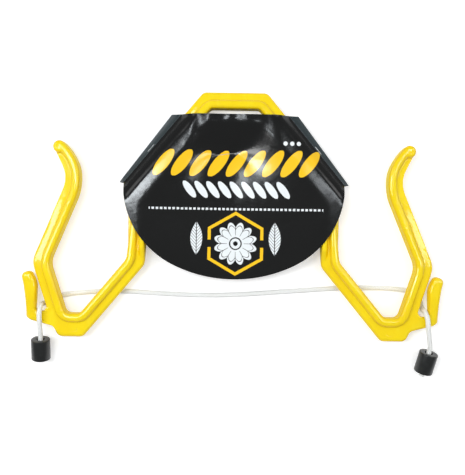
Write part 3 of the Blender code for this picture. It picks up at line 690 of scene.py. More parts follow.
@dataclass(frozen=True)
class CardPrint:
    """A plain geometric print: leaf rows, dashes and dots over a rosette in a six-sided rim."""

    yellow: Rgba = colour(255, 202, 30)
    white: Rgba = colour(238, 243, 245)
    blur: float = 0.00035
    fine_blur: float = 0.0003
    middle_x: float = 0.0025
    twist: LeafRow = LeafRow(level=0.0580, pitch=0.0202, half_height=0.0148, half_width=0.0077, lean=0.62)
    weft: LeafRow = LeafRow(level=0.0288, pitch=0.0130, half_height=0.0094, half_width=0.0048, lean=-0.62)
    dash_level: float = 0.0073
    dash_pitch: float = 0.0046
    dash_half_width: float = 0.0014
    dash_half_height: float = 0.0012
    dash_row_reach: float = 0.0965
    dots_x: float = 0.0610
    dots_level: float = 0.0803
    dot_pitch: float = 0.0074
    dot_radius: float = 0.0024
    dot_row_reach: float = 0.0100
    rosette_level: float = -0.0310
    half_petals: float = 6.0
    petal_radius: float = 0.0178
    petal_swell: float = 0.0062
    petal_blur: float = 0.0004
    line_radius: float = 0.0152
    line_swell: float = 0.0052
    line_half_width: float = 0.0004
    spoke_width: float = 0.12
    spoke_start: float = 0.0092
    eye_radius: float = 0.0026
    eye_ring_radius: float = 0.0064
    eye_ring_half_width: float = 0.0007
    rim_radius: float = 0.0292
    rim_half_width: float = 0.0017
    rim_opening: float = 0.0042
    leaf_aside: float = 0.0435
    leaf_level: float = -0.0255
    leaf_reach: float = 0.0185
    leaf_half_width: float = 0.0066
    vein_pitch: float = 0.0036
    vein_slope: float = 1.1
    vein_half_width: float = 0.0003

    def masks(self, x: Level, y: Level, card: Rgba) -> list[tuple[Level, Rgba]]:
        """Masks of the printed shapes and the ink of each.

        Args:
            x: X in the plan.
            y: Y in the plan.
            card: The colour of the bare card, for what is left open in the print.

        Returns:
            The masks in the order in which they are printed.
        """
        x = x - self.middle_x
        petals, lines = self._rosette(x, y - self.rosette_level)
        leaf, veins = self._leaf(abs(x) - self.leaf_aside, y - self.leaf_level)
        return [
            (self.twist.mask(x, y, self.blur), self.yellow),
            (self.weft.mask(x, y, self.blur), self.white),
            (self._dashes(x, y).most(self._dots(x, y)), self.white),
            (self._rim(x, y - self.rosette_level), self.yellow),
            (petals.most(leaf), self.white),
            (lines, card),
            (leaf * veins, card),
        ]

    def _dashes(self, x: Level, y: Level) -> Level:
        """The row of short dashes under the leaf rows."""
        dashes = x.wave(self.dash_pitch).below(self.dash_half_width, self.blur)
        dashes = dashes * abs(y - self.dash_level).below(self.dash_half_height, self.blur)
        return dashes * abs(x).below(self.dash_row_reach, self.blur)

    def _dots(self, x: Level, y: Level) -> Level:
        """The short row of dots at the top right."""
        dot_x = (x - self.dots_x).wave(self.dot_pitch)
        dot_y = y - self.dots_level
        dots = (dot_x * dot_x + dot_y * dot_y).root().below(self.dot_radius, self.blur)
        return dots * abs(x - self.dots_x).below(self.dot_row_reach, self.blur)

    def _rosette(self, x: Level, rise: Level) -> tuple[Level, Level]:
        """The rosette's petals, and the open lines in them.

        Args:
            x: Distance to the right of its middle.
            rise: Distance above its middle.

        Returns:
            The mask of the petals and the mask of the lines.
        """
        fine = self.fine_blur
        radius = (x * x + rise * rise).root()
        fan = abs((rise.angle_from(x) * self.half_petals).sine())
        petals = radius.below(self.petal_radius + fan * self.petal_swell, self.petal_blur)
        spokes = fan.below(self.spoke_width, self.spoke_width / 2)
        spokes = spokes * (1 - radius.below(self.spoke_start, fine))
        outline = abs(radius - self.line_radius - fan * self.line_swell).below(self.line_half_width, fine)
        ring = abs(radius - self.eye_ring_radius).below(self.eye_ring_half_width, fine)
        eye = ring.most(radius.below(self.eye_radius, fine))
        return petals, petals * outline.most(spokes).most(eye)

    def _rim(self, x: Level, rise: Level) -> Level:
        """The six-sided rim round the rosette, open at its left and right."""
        hexagon = abs(x).most(abs(x) * 0.5 + abs(rise) * 0.866)
        rim = abs(hexagon - self.rim_radius).below(self.rim_half_width, self.blur)
        return rim * (1 - abs(rise).below(self.rim_opening, self.blur))

    def _leaf(self, aside: Level, level: Level) -> tuple[Level, Level]:
        """The upright leaf at each side of the rosette.

        Args:
            aside: Distance from the leaf's spine.
            level: Distance above its middle.

        Returns:
            The mask of the leaf, pointed at both ends, and the mask of its veins.
        """
        height = abs(level) / self.leaf_reach
        width = (1.0 - height * height) * self.leaf_half_width
        leaf = abs(aside).below(width, self.blur) * height.below(1.0, 0.02)
        ribs = (level - abs(aside) * self.vein_slope).wave(self.vein_pitch)
        spine = abs(aside).below(self.line_half_width, self.fine_blur)
        return leaf, spine.most(ribs.below(self.vein_half_width, self.fine_blur))


@dataclass(frozen=True)
class CardFinish:
    """Black laminated card, greyer on the flange outside its crease."""

    name: str
    front_print: CardPrint | None
    base: Rgba = colour(5, 6, 6)
    clouded: Rgba = colour(18, 20, 20)
    seam: Rgba = colour(34, 46, 50)
    scuffed: Rgba = colour(86, 92, 94)
    depth: float = 0.00010
    fibre_scale: float = 900.0
    cloud_scale: float = 38.0
    wave_scale: float = 150.0
    flange_edge: float = -0.0024
    flange_blur: float = 0.0008
    crease: float = -0.0028
    crease_half_width: float = 0.00045
    crease_blur: float = 0.0006
    gloss: float = 0.10
    flange_dullness: float = 0.22

    def material(self) -> Material:
        """Builds the card's nodes."""
        shading = Shading(self.name)
        x, y, _ = shading.axes(shading.place)
        fibre = shading.noise(shading.place, self.fibre_scale, 3.0)
        cloud = shading.noise(shading.place, self.cloud_scale, 3.0)
        waves = shading.noise(shading.place, self.wave_scale, 2.0)
        slant = PLAN.slant_outer
        inside = (abs(x) - slant.point.x) * slant.right.x + (y - slant.point.y) * slant.right.y
        flange = inside.below(self.flange_edge, self.flange_blur)
        tone = shading.mix((cloud * 0.5).clamped(), self.base, self.clouded)
        tone = shading.mix(flange * (0.75 + fibre * 0.4), tone, self.seam)
        if self.front_print:
            for mask, ink in self.front_print.masks(x, y, self.base):
                tone = shading.mix(mask, tone, ink)
        crease = abs(inside - self.crease).below(self.crease_half_width, self.crease_blur)
        worn = crease * (fibre - 0.44).most(0.0) * 5.0
        tone = shading.mix(worn.clamped(), tone, self.scuffed)
        roughness = self.gloss + fibre * 0.05 + flange * self.flange_dullness
        shading.surface(tone, roughness, waves * 0.75 + fibre * 0.25, self.depth)
        shading.fix({"IOR": 1.45})
        return shading.material


@dataclass(frozen=True)
class CardEdgeFinish:
    """The cut edge of the card, where its grey core shows."""

    name: str = "card_cut_edge"
    core: Rgba = colour(120, 124, 122)
    ink: Rgba = colour(30, 32, 32)
    depth: float = 0.00006
    fibre_scale: float = 3200.0
    patch_scale: float = 210.0

    def material(self) -> Material:
        """Builds the edge's nodes."""
        shading = Shading(self.name)
        fibres = shading.noise(shading.place, self.fibre_scale, 3.0)
        patches = shading.noise(shading.place, self.patch_scale, 3.0)
        tone = shading.mix(((patches - 0.42) * 2.2).clamped(), self.core, self.ink)
        shading.surface(tone, 0.7 + fibres * 0.2, fibres, self.depth)
        return shading.material


@dataclass(frozen=True)
class FloorFinish:
    """A plain white floor that the camera and mirrors see as white, with the object's shadow on it."""

    name: str = "white_studio_floor"
    base: Rgba = (0.86, 0.86, 0.86, 1.0)
    mottled: Rgba = (0.84, 0.84, 0.84, 1.0)
    glow: Rgba = (1.0, 1.0, 1.0, 1.0)
    mottle_scale: float = 3.0
    lift: float = 0.40

    def material(self) -> Material:
        """Builds the floor's nodes."""
        shading = Shading(self.name)
        mottle = shading.noise(shading.place, self.mottle_scale, 2.0)
        shading.wire({"Base Color": shading.mix(mottle * 0.05, self.base, self.mottled)})
        shading.fix({"Roughness": 0.95, "Specular IOR Level": 0.0})
        rays = shading.node("ShaderNodeLightPath", {}, {}).outputs
        seen = Level(shading, rays["Is Camera Ray"]).most(Level(shading, rays["Is Glossy Ray"]))
        seen = seen.most(Level(shading, rays["Is Transmission Ray"]))
        glow = shading.node("ShaderNodeEmission", {}, {"Color": self.glow, "Strength": seen * self.lift})
        plain = shading.shader.outputs["BSDF"]
        both = shading.node("ShaderNodeAddShader", {}, {0: plain, 1: glow.outputs[0]})
        output = shading.tree.nodes["Material Output"]
        shading.tree.links.new(both.outputs[0], output.inputs["Surface"])
        return shading.material


# Bench


class Bench:
    """One piece being shaped with Blender's operators, as by hand."""

    def __init__(self, name: str) -> None:
        """Takes up the object that was just added."""
        self.item = bpy.context.object
        self.item.name = name
        self.item.data.name = name

    @staticmethod
    def clear() -> None:
        """Leaves edit mode and deselects every object."""
        if bpy.context.object and bpy.context.object.mode != "OBJECT":
            bpy.ops.object.mode_set(mode="OBJECT")
        bpy.ops.object.select_all(action="DESELECT")

    @staticmethod
    def take(item: Item) -> None:
        """Selects one piece and nothing else, and makes it the active one."""
        Bench.clear()
        item.select_set(True)
        bpy.context.view_layer.objects.active = item

    @classmethod
    def cylinder(
        cls, name: str, centre: Sequence[float], radius: float, depth: float, sides: int
    ) -> "Bench":
        """Adds an upright cylinder.

        Args:
            name: The piece's name.
            centre: The cylinder's middle.
            radius: Its radius.
            depth: Its height.
            sides: How many sides it has.

        Returns:
            The piece, in edit mode.
        """
        cls.clear()
        bpy.ops.mesh.primitive_cylinder_add(vertices=sides, radius=radius, depth=depth, location=centre)
        piece = cls(name)
        cls.rest(piece.item)
        bpy.ops.object.mode_set(mode="EDIT")
        return piece

    @classmethod
    def point(cls, name: str, place: Sequence[float]) -> "Bench":
        """Adds a single vertex, to be drawn out into a chain of edges.

        Args:
            name: The piece's name.
            place: Where the vertex lies.

        Returns:
            The piece, in edit mode, with its vertex selected.
        """
        cls.clear()
        bpy.ops.mesh.primitive_plane_add(size=0.001, location=place)
        piece = cls(name)
        cls.rest(piece.item)
        bpy.ops.object.mode_set(mode="EDIT")
        bpy.ops.mesh.select_mode(type=Kind.VERTEX.value)
        bpy.ops.mesh.select_all(action="SELECT")
        bpy.ops.mesh.merge(type="CENTER")
        return piece

    @classmethod
    def draw(cls, name: str, corners: Sequence[Corner], level: float) -> "Bench":
        """Draws a closed outline as a chain of edges and rounds its corners.

        Args:
            name: The piece's name.
            corners: The outline's corners in order.
            level: The height that it is drawn at.

        Returns:
            The piece, in edit mode, with its outline filled.
        """
        corners = split_sharp(corners)
        first = corners[0].point
        last = corners[-1].point
        piece = cls.point(name, (*first, level))
        for before, corner in zip(corners, corners[1:]):
            piece.pull((corner.point - before.point).to_3d())
        piece.pick(
            Kind.VERTEX,
            lambda vert: min((vert.co.xy - first).length, (vert.co.xy - last).length) < SAME_PLACE,
        )
        bpy.ops.mesh.edge_face_add()
        for index, corner in enumerate(corners):
            following = corners[(index + 1) % len(corners)]
            piece.round_corner(corners[index - 1].point, corner, following.point)
        bpy.ops.mesh.select_all(action="SELECT")
        bpy.ops.mesh.remove_doubles(threshold=SAME_PLACE)
        bpy.ops.mesh.edge_face_add()
        return piece

    def round_corner(self, before: Vector, corner: Corner, after: Vector) -> None:
        """Bevels one vertex of an outline to its radius.

        Args:
            before: The place of the corner before it.
            corner: The corner.
            after: The place of the corner after it.
        """
        turn = math.pi - (before - corner.point).angle(after - corner.point)
        if corner.radius <= 0 or turn < math.radians(1):
            return
        self.pick(Kind.VERTEX, lambda vert: (vert.co.xy - corner.point).length < SAME_PLACE)
        bpy.ops.mesh.bevel(
            offset_type="OFFSET",
            offset=corner.radius * math.tan(turn / 2),
            segments=max(3, round(math.degrees(turn) / SEGMENT_TURN)),
            affect="VERTICES",
            clamp_overlap=False,
        )

    def leave(self) -> Item:
        """Turns all faces outwards and leaves edit mode."""
        bpy.ops.mesh.select_all(action="SELECT")
        bpy.ops.mesh.normals_make_consistent(inside=False)
        bpy.ops.object.mode_set(mode="OBJECT")
        return self.item

    def pick(self, kind: Kind, wanted: Callable) -> None:
        """Selects some vertices, edges or faces, and nothing else.

        Args:
            kind: Which of them.
            wanted: The test that the chosen ones pass.
        """
        bpy.ops.mesh.select_mode(type=kind.value)
        bpy.ops.mesh.select_all(action="DESELECT")
        work = bmesh.from_edit_mesh(self.item.data)
        chosen = {Kind.VERTEX: work.verts, Kind.EDGE: work.edges, Kind.FACE: work.faces}[kind]
        for element in chosen:
            if wanted(element):
                element.select_set(True)
        work.select_flush_mode()
        bmesh.update_edit_mesh(self.item.data)

    def pull(self, step: Vector) -> None:
        """Extrudes what is selected by a step."""
        bpy.ops.mesh.extrude_region_move(TRANSFORM_OT_translate={"value": tuple(step)})

    def extrude(self, height: float) -> None:
        """Extrudes what is selected straight up."""
        self.pull(Vector((0.0, 0.0, height)))

    @staticmethod
    def _on_rim(edge: bmesh.types.BMEdge) -> bool:
        """Whether an edge lies between a level face and an upright one."""
        if len(edge.link_faces) != 2:
            return False
        tilts = sorted(abs(face.normal.z) for face in edge.link_faces)
        return tilts[0] < 0.3 and tilts[1] > 0.7

    def round_rims(self, radius: float, steps: int) -> None:
        """Rounds the edges between a level face and a wall."""
        self.pick(Kind.EDGE, self._on_rim)
        bpy.ops.mesh.bevel(
            offset_type="OFFSET",
            offset=radius,
            segments=steps,
            profile=0.5,
            affect="EDGES",
            clamp_overlap=False,
        )

    def round_tapered_rims(self, radius_at: Callable, steps: int, crown: float) -> Item:
        """Rounds the rims of a bar whose width changes, by a radius that follows it.

        Args:
            radius_at: The radius at a place of the plan.
            steps: Segments of the rounding.
            crown: How high the rounding becomes for its width, when the bar is lowered to its own height.

        Returns:
            The piece, with its faces outwards.
        """
        work = bmesh.from_edit_mesh(self.item.data)
        weight = work.edges.layers.float.new("bevel_weight_edge")
        rims = [edge for edge in work.edges if self._on_rim(edge)]
        radii = [radius_at((edge.verts[0].co.xy + edge.verts[1].co.xy) / 2) for edge in rims]
        for edge, radius in zip(rims, radii):
            edge[weight] = radius / max(radii)
        bmesh.update_edit_mesh(self.item.data)
        item = self.leave()
        rounding = item.modifiers.new("rims", "BEVEL")
        rounding.limit_method = "WEIGHT"
        rounding.width = max(radii)
        rounding.segments = steps
        rounding.use_clamp_overlap = False
        self.apply(item)
        item.scale.z = crown
        item.location.z = MIDDLE * (1 - crown)
        self.rest(item)
        return item

    @staticmethod
    def join(name: str, items: Sequence[Item]) -> Item:
        """Joins pieces into the first one.

        Args:
            name: The name of the whole.
            items: The pieces.

        Returns:
            The whole.
        """
        Bench.take(items[0])
        for item in items[1:]:
            item.select_set(True)
        bpy.ops.object.join()
        items[0].name = name
        items[0].data.name = name
        return items[0]

    @staticmethod
    def apply(item: Item) -> None:
        """Applies a piece's modifiers in order."""
        Bench.take(item)
        for modifier in list(item.modifiers):
            bpy.ops.object.modifier_apply(modifier=modifier.name)

    @staticmethod
    def rest(item: Item) -> None:
        """Puts a piece's place, turn and scale into its mesh."""
        Bench.take(item)
        bpy.ops.object.transform_apply(location=True, rotation=True, scale=True)

    @staticmethod
    def smooth(item: Item, angle: float) -> None:
        """Shades a piece smooth, apart from edges sharper than an angle in degrees."""
        Bench.take(item)
        bpy.ops.object.shade_smooth_by_angle(angle=math.radians(angle))


def dress(item: Item, *materials: Material) -> Item:
    """Gives a piece its materials in order."""
    item.data.materials.clear()
    for material in materials:
        item.data.materials.append(material)
    return item


def mesh_object(name: str, work: bmesh.types.BMesh) -> Item:
    """An object with a smooth mesh made by code.

    Args:
        name: The object's name.
        work: The mesh's faces, which are used up.

    Returns:
        The object, at the origin.
    """
    mesh = bpy.data.meshes.new(name)
    work.to_mesh(mesh)
    work.free()
    mesh.shade_smooth()
    item = bpy.data.objects.new(name, mesh)
    bpy.context.scene.collection.objects.link(item)
    return item


# Studio


@dataclass(frozen=True)
class Softbox:
    """A soft rectangular lamp."""

    name: str
    place: Place
    size: tuple[float, float]
    power: float
    tint: tuple[float, float, float] = (1.0, 1.0, 1.0)

    def hang(self) -> None:
        """Adds the lamp at its place, facing the restrainer."""
        data = bpy.data.lights.new(self.name, "AREA")
        data.shape = "RECTANGLE"
        data.size, data.size_y = self.size
        data.energy = self.power
        data.color = self.tint
        lamp = bpy.data.objects.new(self.name, data)
        lamp.location = self.place
        lamp.rotation_euler = Vector(self.place).to_track_quat("Z", "Y").to_euler()
        bpy.context.scene.collection.objects.link(lamp)


COOL = (0.90, 0.96, 1.0)

SOFTBOXES = (
    Softbox("key_softbox", (-1.75, 0.70, 1.85), (1.20, 1.10), 8.0),
    Softbox("top_strip", (-0.31, 0.16, 1.12), (0.12, 0.26), 2.5, COOL),
    Softbox("band_strip", (-0.13, 0.27, 1.12), (0.05, 0.16), 0.5, COOL),
    Softbox("left_softbox", (-0.72, 0.0, 1.15), (0.18, 0.70), 4.6),
    Softbox("right_softbox", (0.72, 0.0, 1.15), (0.14, 0.70), 2.2),
    Softbox("right_strip", (0.36, 0.20, 1.10), (0.06, 0.40), 0.8, COOL),
    Softbox("far_softbox", (1.0, 0.45, 0.85), (0.5, 0.5), 2.0),
)


@dataclass
class Studio:
    """The camera over the restrainer, the floor and the soft lamps."""

    camera_place: Place = (-0.0008, -0.0242, 0.8158)
    camera_turn: float = 0.917
    lens: float = 55.3
    sensor: float = 36.0
    floor_size: float = 4.0
    floor_drop: float = 0.0001
    world_strength: float = 0.38
    backdrop_strength: float = 1.0

    def build(self) -> None:
        """Sets up the whole studio."""
        self._camera()
        self._floor()
        self._world()
        for softbox in SOFTBOXES:
            softbox.hang()
        bpy.context.scene.view_settings.view_transform = "Standard"

    def _camera(self) -> None:
        """The camera, looking straight down."""
        data = bpy.data.cameras.new("photo_camera")
        data.sensor_fit = "HORIZONTAL"
        data.sensor_width = self.sensor
        data.lens = self.lens
        camera = bpy.data.objects.new("photo_camera", data)
        camera.location = self.camera_place
        camera.rotation_euler = (0.0, 0.0, math.radians(self.camera_turn))
        bpy.context.scene.collection.objects.link(camera)
        bpy.context.scene.camera = camera

    def _floor(self) -> None:
        """The floor, just under the restrainer."""
        Bench.clear()
        bpy.ops.mesh.primitive_plane_add(size=self.floor_size, location=(0.0, 0.0, -self.floor_drop))
        floor = Bench("studio_floor").item
        Bench.rest(floor)
        dress(floor, FloorFinish().material())

    def _world(self) -> None:
        """Even light from all round; what the camera sees past the floor is white."""
        world = bpy.data.worlds.new("studio_world")
        world.use_nodes = True
        tree = world.node_tree
        light = tree.nodes["Background"]
        backdrop = tree.nodes.new("ShaderNodeBackground")
        for background, strength in ((light, self.world_strength), (backdrop, self.backdrop_strength)):
            background.inputs["Color"].default_value = (1.0, 1.0, 1.0, 1.0)
            background.inputs["Strength"].default_value = strength
        path = tree.nodes.new("ShaderNodeLightPath")
        choice = tree.nodes.new("ShaderNodeMixShader")
        tree.links.new(path.outputs["Is Camera Ray"], choice.inputs[0])
        tree.links.new(light.outputs[0], choice.inputs[1])
        tree.links.new(backdrop.outputs[0], choice.inputs[2])
        tree.links.new(choice.outputs[0], tree.nodes["World Output"].inputs["Surface"])
        bpy.context.scene.world = world


# Cords


@dataclass(frozen=True)
class Tail:
    """Where the cord stands upright in its slot, and how it runs on to its stopper."""

    side: Side
    slot: tuple[float, float]
    arrives: float
    leaves: float
    route: tuple[Place, ...]
    stopper_foot: tuple[float, float]
    stopper_heading: float
    knot_stub: float
    stopper_tilt: float = math.radians(15.0)

    @property
    def foot(self) -> Vector:
        """The middle of its stopper's lower end."""
        return Vector((*self.stopper_foot, STOPPER_DIAMETER / 2 * math.cos(self.stopper_tilt)))

    @property
    def axis(self) -> Vector:
        """The direction up its stopper's axis."""
        level = heading_vector(self.stopper_heading) * math.cos(self.stopper_tilt)
        return Vector((*level, math.sin(self.stopper_tilt)))


TAILS = (
    Tail(
        side=Side.LEFT,
        slot=(-0.2134, -0.1021),
        arrives=245.6,
        leaves=180.0,
        route=((-0.2134, -0.1205, 0.0241), (-0.2136, -0.1275, 0.0211), (-0.2137, -0.1345, 0.0184)),
        stopper_foot=(-0.2144, -0.1640),
        stopper_heading=1.5,
        knot_stub=0.0015,
    ),
    Tail(
        side=Side.RIGHT,
        slot=(0.2150, -0.1026),
        arrives=171.0,
        leaves=170.0,
        route=(
            (0.2178, -0.1215, 0.0245),
            (0.2194, -0.1300, 0.0224),
            (0.2208, -0.1375, 0.0200),
            (0.2217, -0.1441, 0.0179),
        ),
        stopper_foot=(0.2163, -0.1720),
        stopper_heading=12.0,
        knot_stub=0.0055,
    ),
)


def smooth_route(
    points: Sequence[Sequence[float]], start: Sequence[float], end: Sequence[float], spacing: float
) -> list[Vector]:
    """Evenly spaced points of a smooth curve through a route.

    Args:
        points: The places that the curve goes through.
        start: Its direction at the first place.
        end: Its direction at the last place.
        spacing: The distance between the points.

    Returns:
        The curve's points.
    """
    places = numpy.array([tuple(point) for point in points])
    lengths = numpy.linalg.norm(numpy.diff(places, axis=0), axis=1)
    knots = numpy.concatenate(([0.0], numpy.cumsum(lengths)))
    count = len(places)
    system = numpy.eye(count)
    target = numpy.zeros((count, 3))
    target[0] = start
    target[-1] = end
    for index in range(1, count - 1):
        before = lengths[index - 1]
        after = lengths[index]
        system[index, index - 1 : index + 2] = (after, 2 * (before + after), before)
        rise = (places[index + 1] - places[index]) / after * before
        fall = (places[index] - places[index - 1]) / before * after
        target[index] = 3 * (rise + fall)
    slopes = numpy.linalg.solve(system, target)
    result = []
    for place in numpy.linspace(0.0, knots[-1], max(8, round(knots[-1] / spacing)) + 1):
        index = min(count - 2, int(numpy.searchsorted(knots, place, side="right")) - 1)
        span = lengths[index]
        share = (place - knots[index]) / span
        rising = 3 * share**2 - 2 * share**3
        point = (1 - rising) * places[index] + rising * places[index + 1]
        point += span * (share**3 - 2 * share**2 + share) * slopes[index]
        point += span * (share**3 - share**2) * slopes[index + 1]
        result.append(Vector(point))
    return result


def path_length(points: Sequence[Vector]) -> float:
    """The length of a line through points."""
    return sum((after - before).length for before, after in zip(points, points[1:]))


@dataclass
class BraidedTube:
    """A round braid along a path, with the relief of its crossing strands."""

    diameter: float = CORD_DIAMETER
    sides: int = 32
    strands: int = 8
    pick: float = 0.0040
    relief: float = 0.00018

    def build(self, name: str, points: Sequence[Vector], closed: bool = False) -> Item:
        """Makes the tube's mesh and its braid map.

        Args:
            name: The piece's name.
            points: The middle of the tube, closely spaced.
            closed: Whether the tube runs back into its start.

        Returns:
            The tube.
        """
        work = bmesh.new()
        weave = work.loops.layers.uv.new("braid")
        rings, places = self._rings(work, points)
        pairs = list(zip(range(len(rings) - 1), range(1, len(rings))))
        if closed:
            pairs.append((len(rings) - 1, 0))
        for lower, upper in pairs:
            low = places[lower] / self.pick
            high = places[upper] / self.pick
            if upper == 0:
                high = low + (places[1] - places[0]) / self.pick
            for side in range(self.sides):
                following = (side + 1) % self.sides
                near = (rings[lower][side], rings[lower][following])
                far = (rings[upper][following], rings[upper][side])
                left = side * self.strands / self.sides
                right = (side + 1) * self.strands / self.sides
                spots = ((left, low), (right, low), (right, high), (left, high))
                for loop, spot in zip(work.faces.new(near + far).loops, spots):
                    loop[weave].uv = spot
        if not closed:
            self._cap(work, rings[0])
            self._cap(work, rings[-1])
        bmesh.ops.recalc_face_normals(work, faces=work.faces)
        return mesh_object(name, work)

    def _rings(self, work: bmesh.types.BMesh, points: Sequence[Vector]) -> tuple[list, list]:
        """Rings of vertices round the path, turned with it.

        Args:
            work: The mesh that they are added to.
            points: The path.

        Returns:
            The rings, and how far along the path each lies.
        """
        rings = []
        places = []
        place = 0.0
        across = None
        for index, point in enumerate(points):
            before = points[max(index - 1, 0)]
            after = points[min(index + 1, len(points) - 1)]
            along = (after - before).normalized()
            if across is None:
                across = along.orthogonal().normalized()
            across = (across - along * across.dot(along)).normalized()
            up = along.cross(across)
            if index:
                place += (point - points[index - 1]).length
            ring = []
            for side in range(self.sides):
                angle = 2 * math.pi * side / self.sides
                strand = self.strands * side / self.sides
                plait = math.sin(2 * math.pi * (strand + place / self.pick))
                plait *= math.sin(2 * math.pi * (strand - place / self.pick))
                radius = self.diameter / 2 + self.relief * (abs(plait) - 1.0)
                outwards = across * math.cos(angle) + up * math.sin(angle)
                ring.append(work.verts.new(point + outwards * radius))
            rings.append(ring)
            places.append(place)
        return rings, places

    @staticmethod
    def _cap(work: bmesh.types.BMesh, ring: Sequence) -> None:
        """Closes an end of the tube with a fan round its middle."""
        middle = work.verts.new(sum((vert.co for vert in ring), Vector()) / len(ring))
        for index, vert in enumerate(ring):
            work.faces.new((vert, ring[(index + 1) % len(ring)], middle))


@dataclass
class Cordage:
    """The cord under the frame, its two tails and the knots that end them."""

    bend: float = 0.0113
    bend_angles: tuple = (30, 60, 90)
    spacing: float = 0.00055
    knot_width: float = 0.0110
    knot_length: float = 0.0080
    knot_inset: float = 0.0007
    knot_strand: float = 0.0042
    knot_pick: float = 0.0020
    knot_steps: int = 150
    core_steps: int = 24
    core_inset: float = 0.0012
    core_relief: float = 0.00012
    neck_route: tuple = (
        (-0.1938, -0.0933),
        (-0.1733, -0.0896),
        (-0.1506, -0.0875),
        (-0.1255, -0.0871),
        (-0.0766, -0.0892),
        (0.0031, -0.0891),
        (0.0429, -0.0861),
        (0.0769, -0.0833),
        (0.1180, -0.0802),
        (0.1500, -0.0790),
        (0.1760, -0.0792),
        (0.1930, -0.0807),
        (0.2050, -0.0840),
    )

    @property
    def split(self) -> float:
        """The height in a slot where the cord under the frame ends and the tail begins."""
        return CORD_DIAMETER / 2 + self.bend

    def build(self) -> None:
        """Makes and dresses every cord and knot, and puts each on its body in place of the model's."""
        braid = BraidFinish().material()
        floor = CORD_DIAMETER / 2
        left, right = TAILS
        route = [(*left.slot, self.split - GAP / 2)]
        route += self._quarter_bend(left.slot, left.arrives + 180, False)
        route += [(x, y, floor) for x, y in self.neck_route]
        route += reversed(self._quarter_bend(right.slot, right.arrives + 180, False))
        route.append((*right.slot, self.split - GAP / 2))
        points = smooth_route(route, (0, 0, -1), (0, 0, 1), self.spacing)
        points = [Vector((point.x, point.y, max(point.z, floor))) for point in points]
        neck = dress(BraidedTube().build("neck_cord_braid", points), braid)
        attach(neck, "moulding")
        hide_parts("neck_cord")
        log.info("neck cord: %.0f mm of braid under the frame", path_length(points) * 1000)
        for tail in TAILS:
            self._tail(tail, braid)

    def _quarter_bend(self, slot: Sequence[float], heading: float, up: bool) -> list[Place]:
        """Cord places of a quarter turn away from the upright in a slot.

        Args:
            slot: Where the cord stands upright, in the plan.
            heading: The way that it bends to.
            up: Whether it leaves upwards; otherwise it leaves downwards.

        Returns:
            The places, from the slot outwards.
        """
        away = heading_vector(heading)
        result = []
        for angle in self.bend_angles:
            place = Vector(slot) + away * self.bend * (1 - math.cos(math.radians(angle)))
            rise = self.bend * math.sin(math.radians(angle))
            result.append((place.x, place.y, self.split + rise if up else self.split - rise))
        return result

    def _tail(self, tail: Tail, braid: Material) -> None:
        """One end of the cord, from its slot into its stopper, with its knot.

        Args:
            tail: Which end.
            braid: Its material.
        """
        word = tail.side.word
        shoulder = tail.foot + tail.axis * (self.knot_inset + self.knot_length + GAP)
        top = tail.foot + tail.axis * STOPPER_LENGTH
        route = [(*tail.slot, self.split + GAP / 2)]
        route += self._quarter_bend(tail.slot, tail.leaves, True)
        route += tail.route
        route += [tuple(top), tuple((top + shoulder) / 2), tuple(shoulder)]
        points = smooth_route(route, (0, 0, 1), tuple(-tail.axis), self.spacing)
        cord = dress(BraidedTube().build(f"tail_braid_{word}", points), braid)
        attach(cord, f"tail_{word}")
        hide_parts(f"cord_tail_{word}")
        knot = dress(self._knot(tail), braid)
        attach(knot, f"tail_{word}")
        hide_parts(f"knot_{word}")
        log.info("%s tail: %.0f mm of braid and its knot", word, path_length(points) * 1000)

    def _knot(self, tail: Tail) -> Item:
        """A tight overhand knot with its cut end, about the axis of its stopper.

        Args:
            tail: The cord end that it is tied in.

        Returns:
            The knot.
        """
        word = tail.side.word
        foot = tail.foot
        axis = tail.axis
        strand = self.knot_strand
        # The curve of the loop reaches 3 units from its middle
        reach = (self.knot_width - strand) / 2 / 3.0
        lift = (self.knot_length - strand) / 2
        turned = axis.to_track_quat("Z", "Y").to_matrix()
        middle = self.knot_inset + self.knot_length / 2
        loop = []
        for step in range(self.knot_steps):
            angle = 2 * math.pi * step / self.knot_steps
            x = (math.sin(angle) + 2 * math.sin(2 * angle)) * reach
            y = (math.cos(angle) - 2 * math.cos(2 * angle)) * reach
            loop.append(foot + turned @ Vector((x, y, middle - math.sin(3 * angle) * lift)))
        tube = BraidedTube(diameter=strand, sides=24, strands=6, pick=self.knot_pick)
        wound = tube.build(f"knot_loop_{word}", loop, closed=True)
        low = -tail.knot_stub
        high = self.knot_inset + self.knot_length - self.core_inset
        count = self.core_steps
        line = [foot + axis * (low + (high - low) * step / count) for step in range(count + 1)]
        core = BraidedTube(relief=self.core_relief).build(f"knot_core_{word}", line)
        return Bench.join(f"knot_tied_{word}", [wound, core])


# Moulding


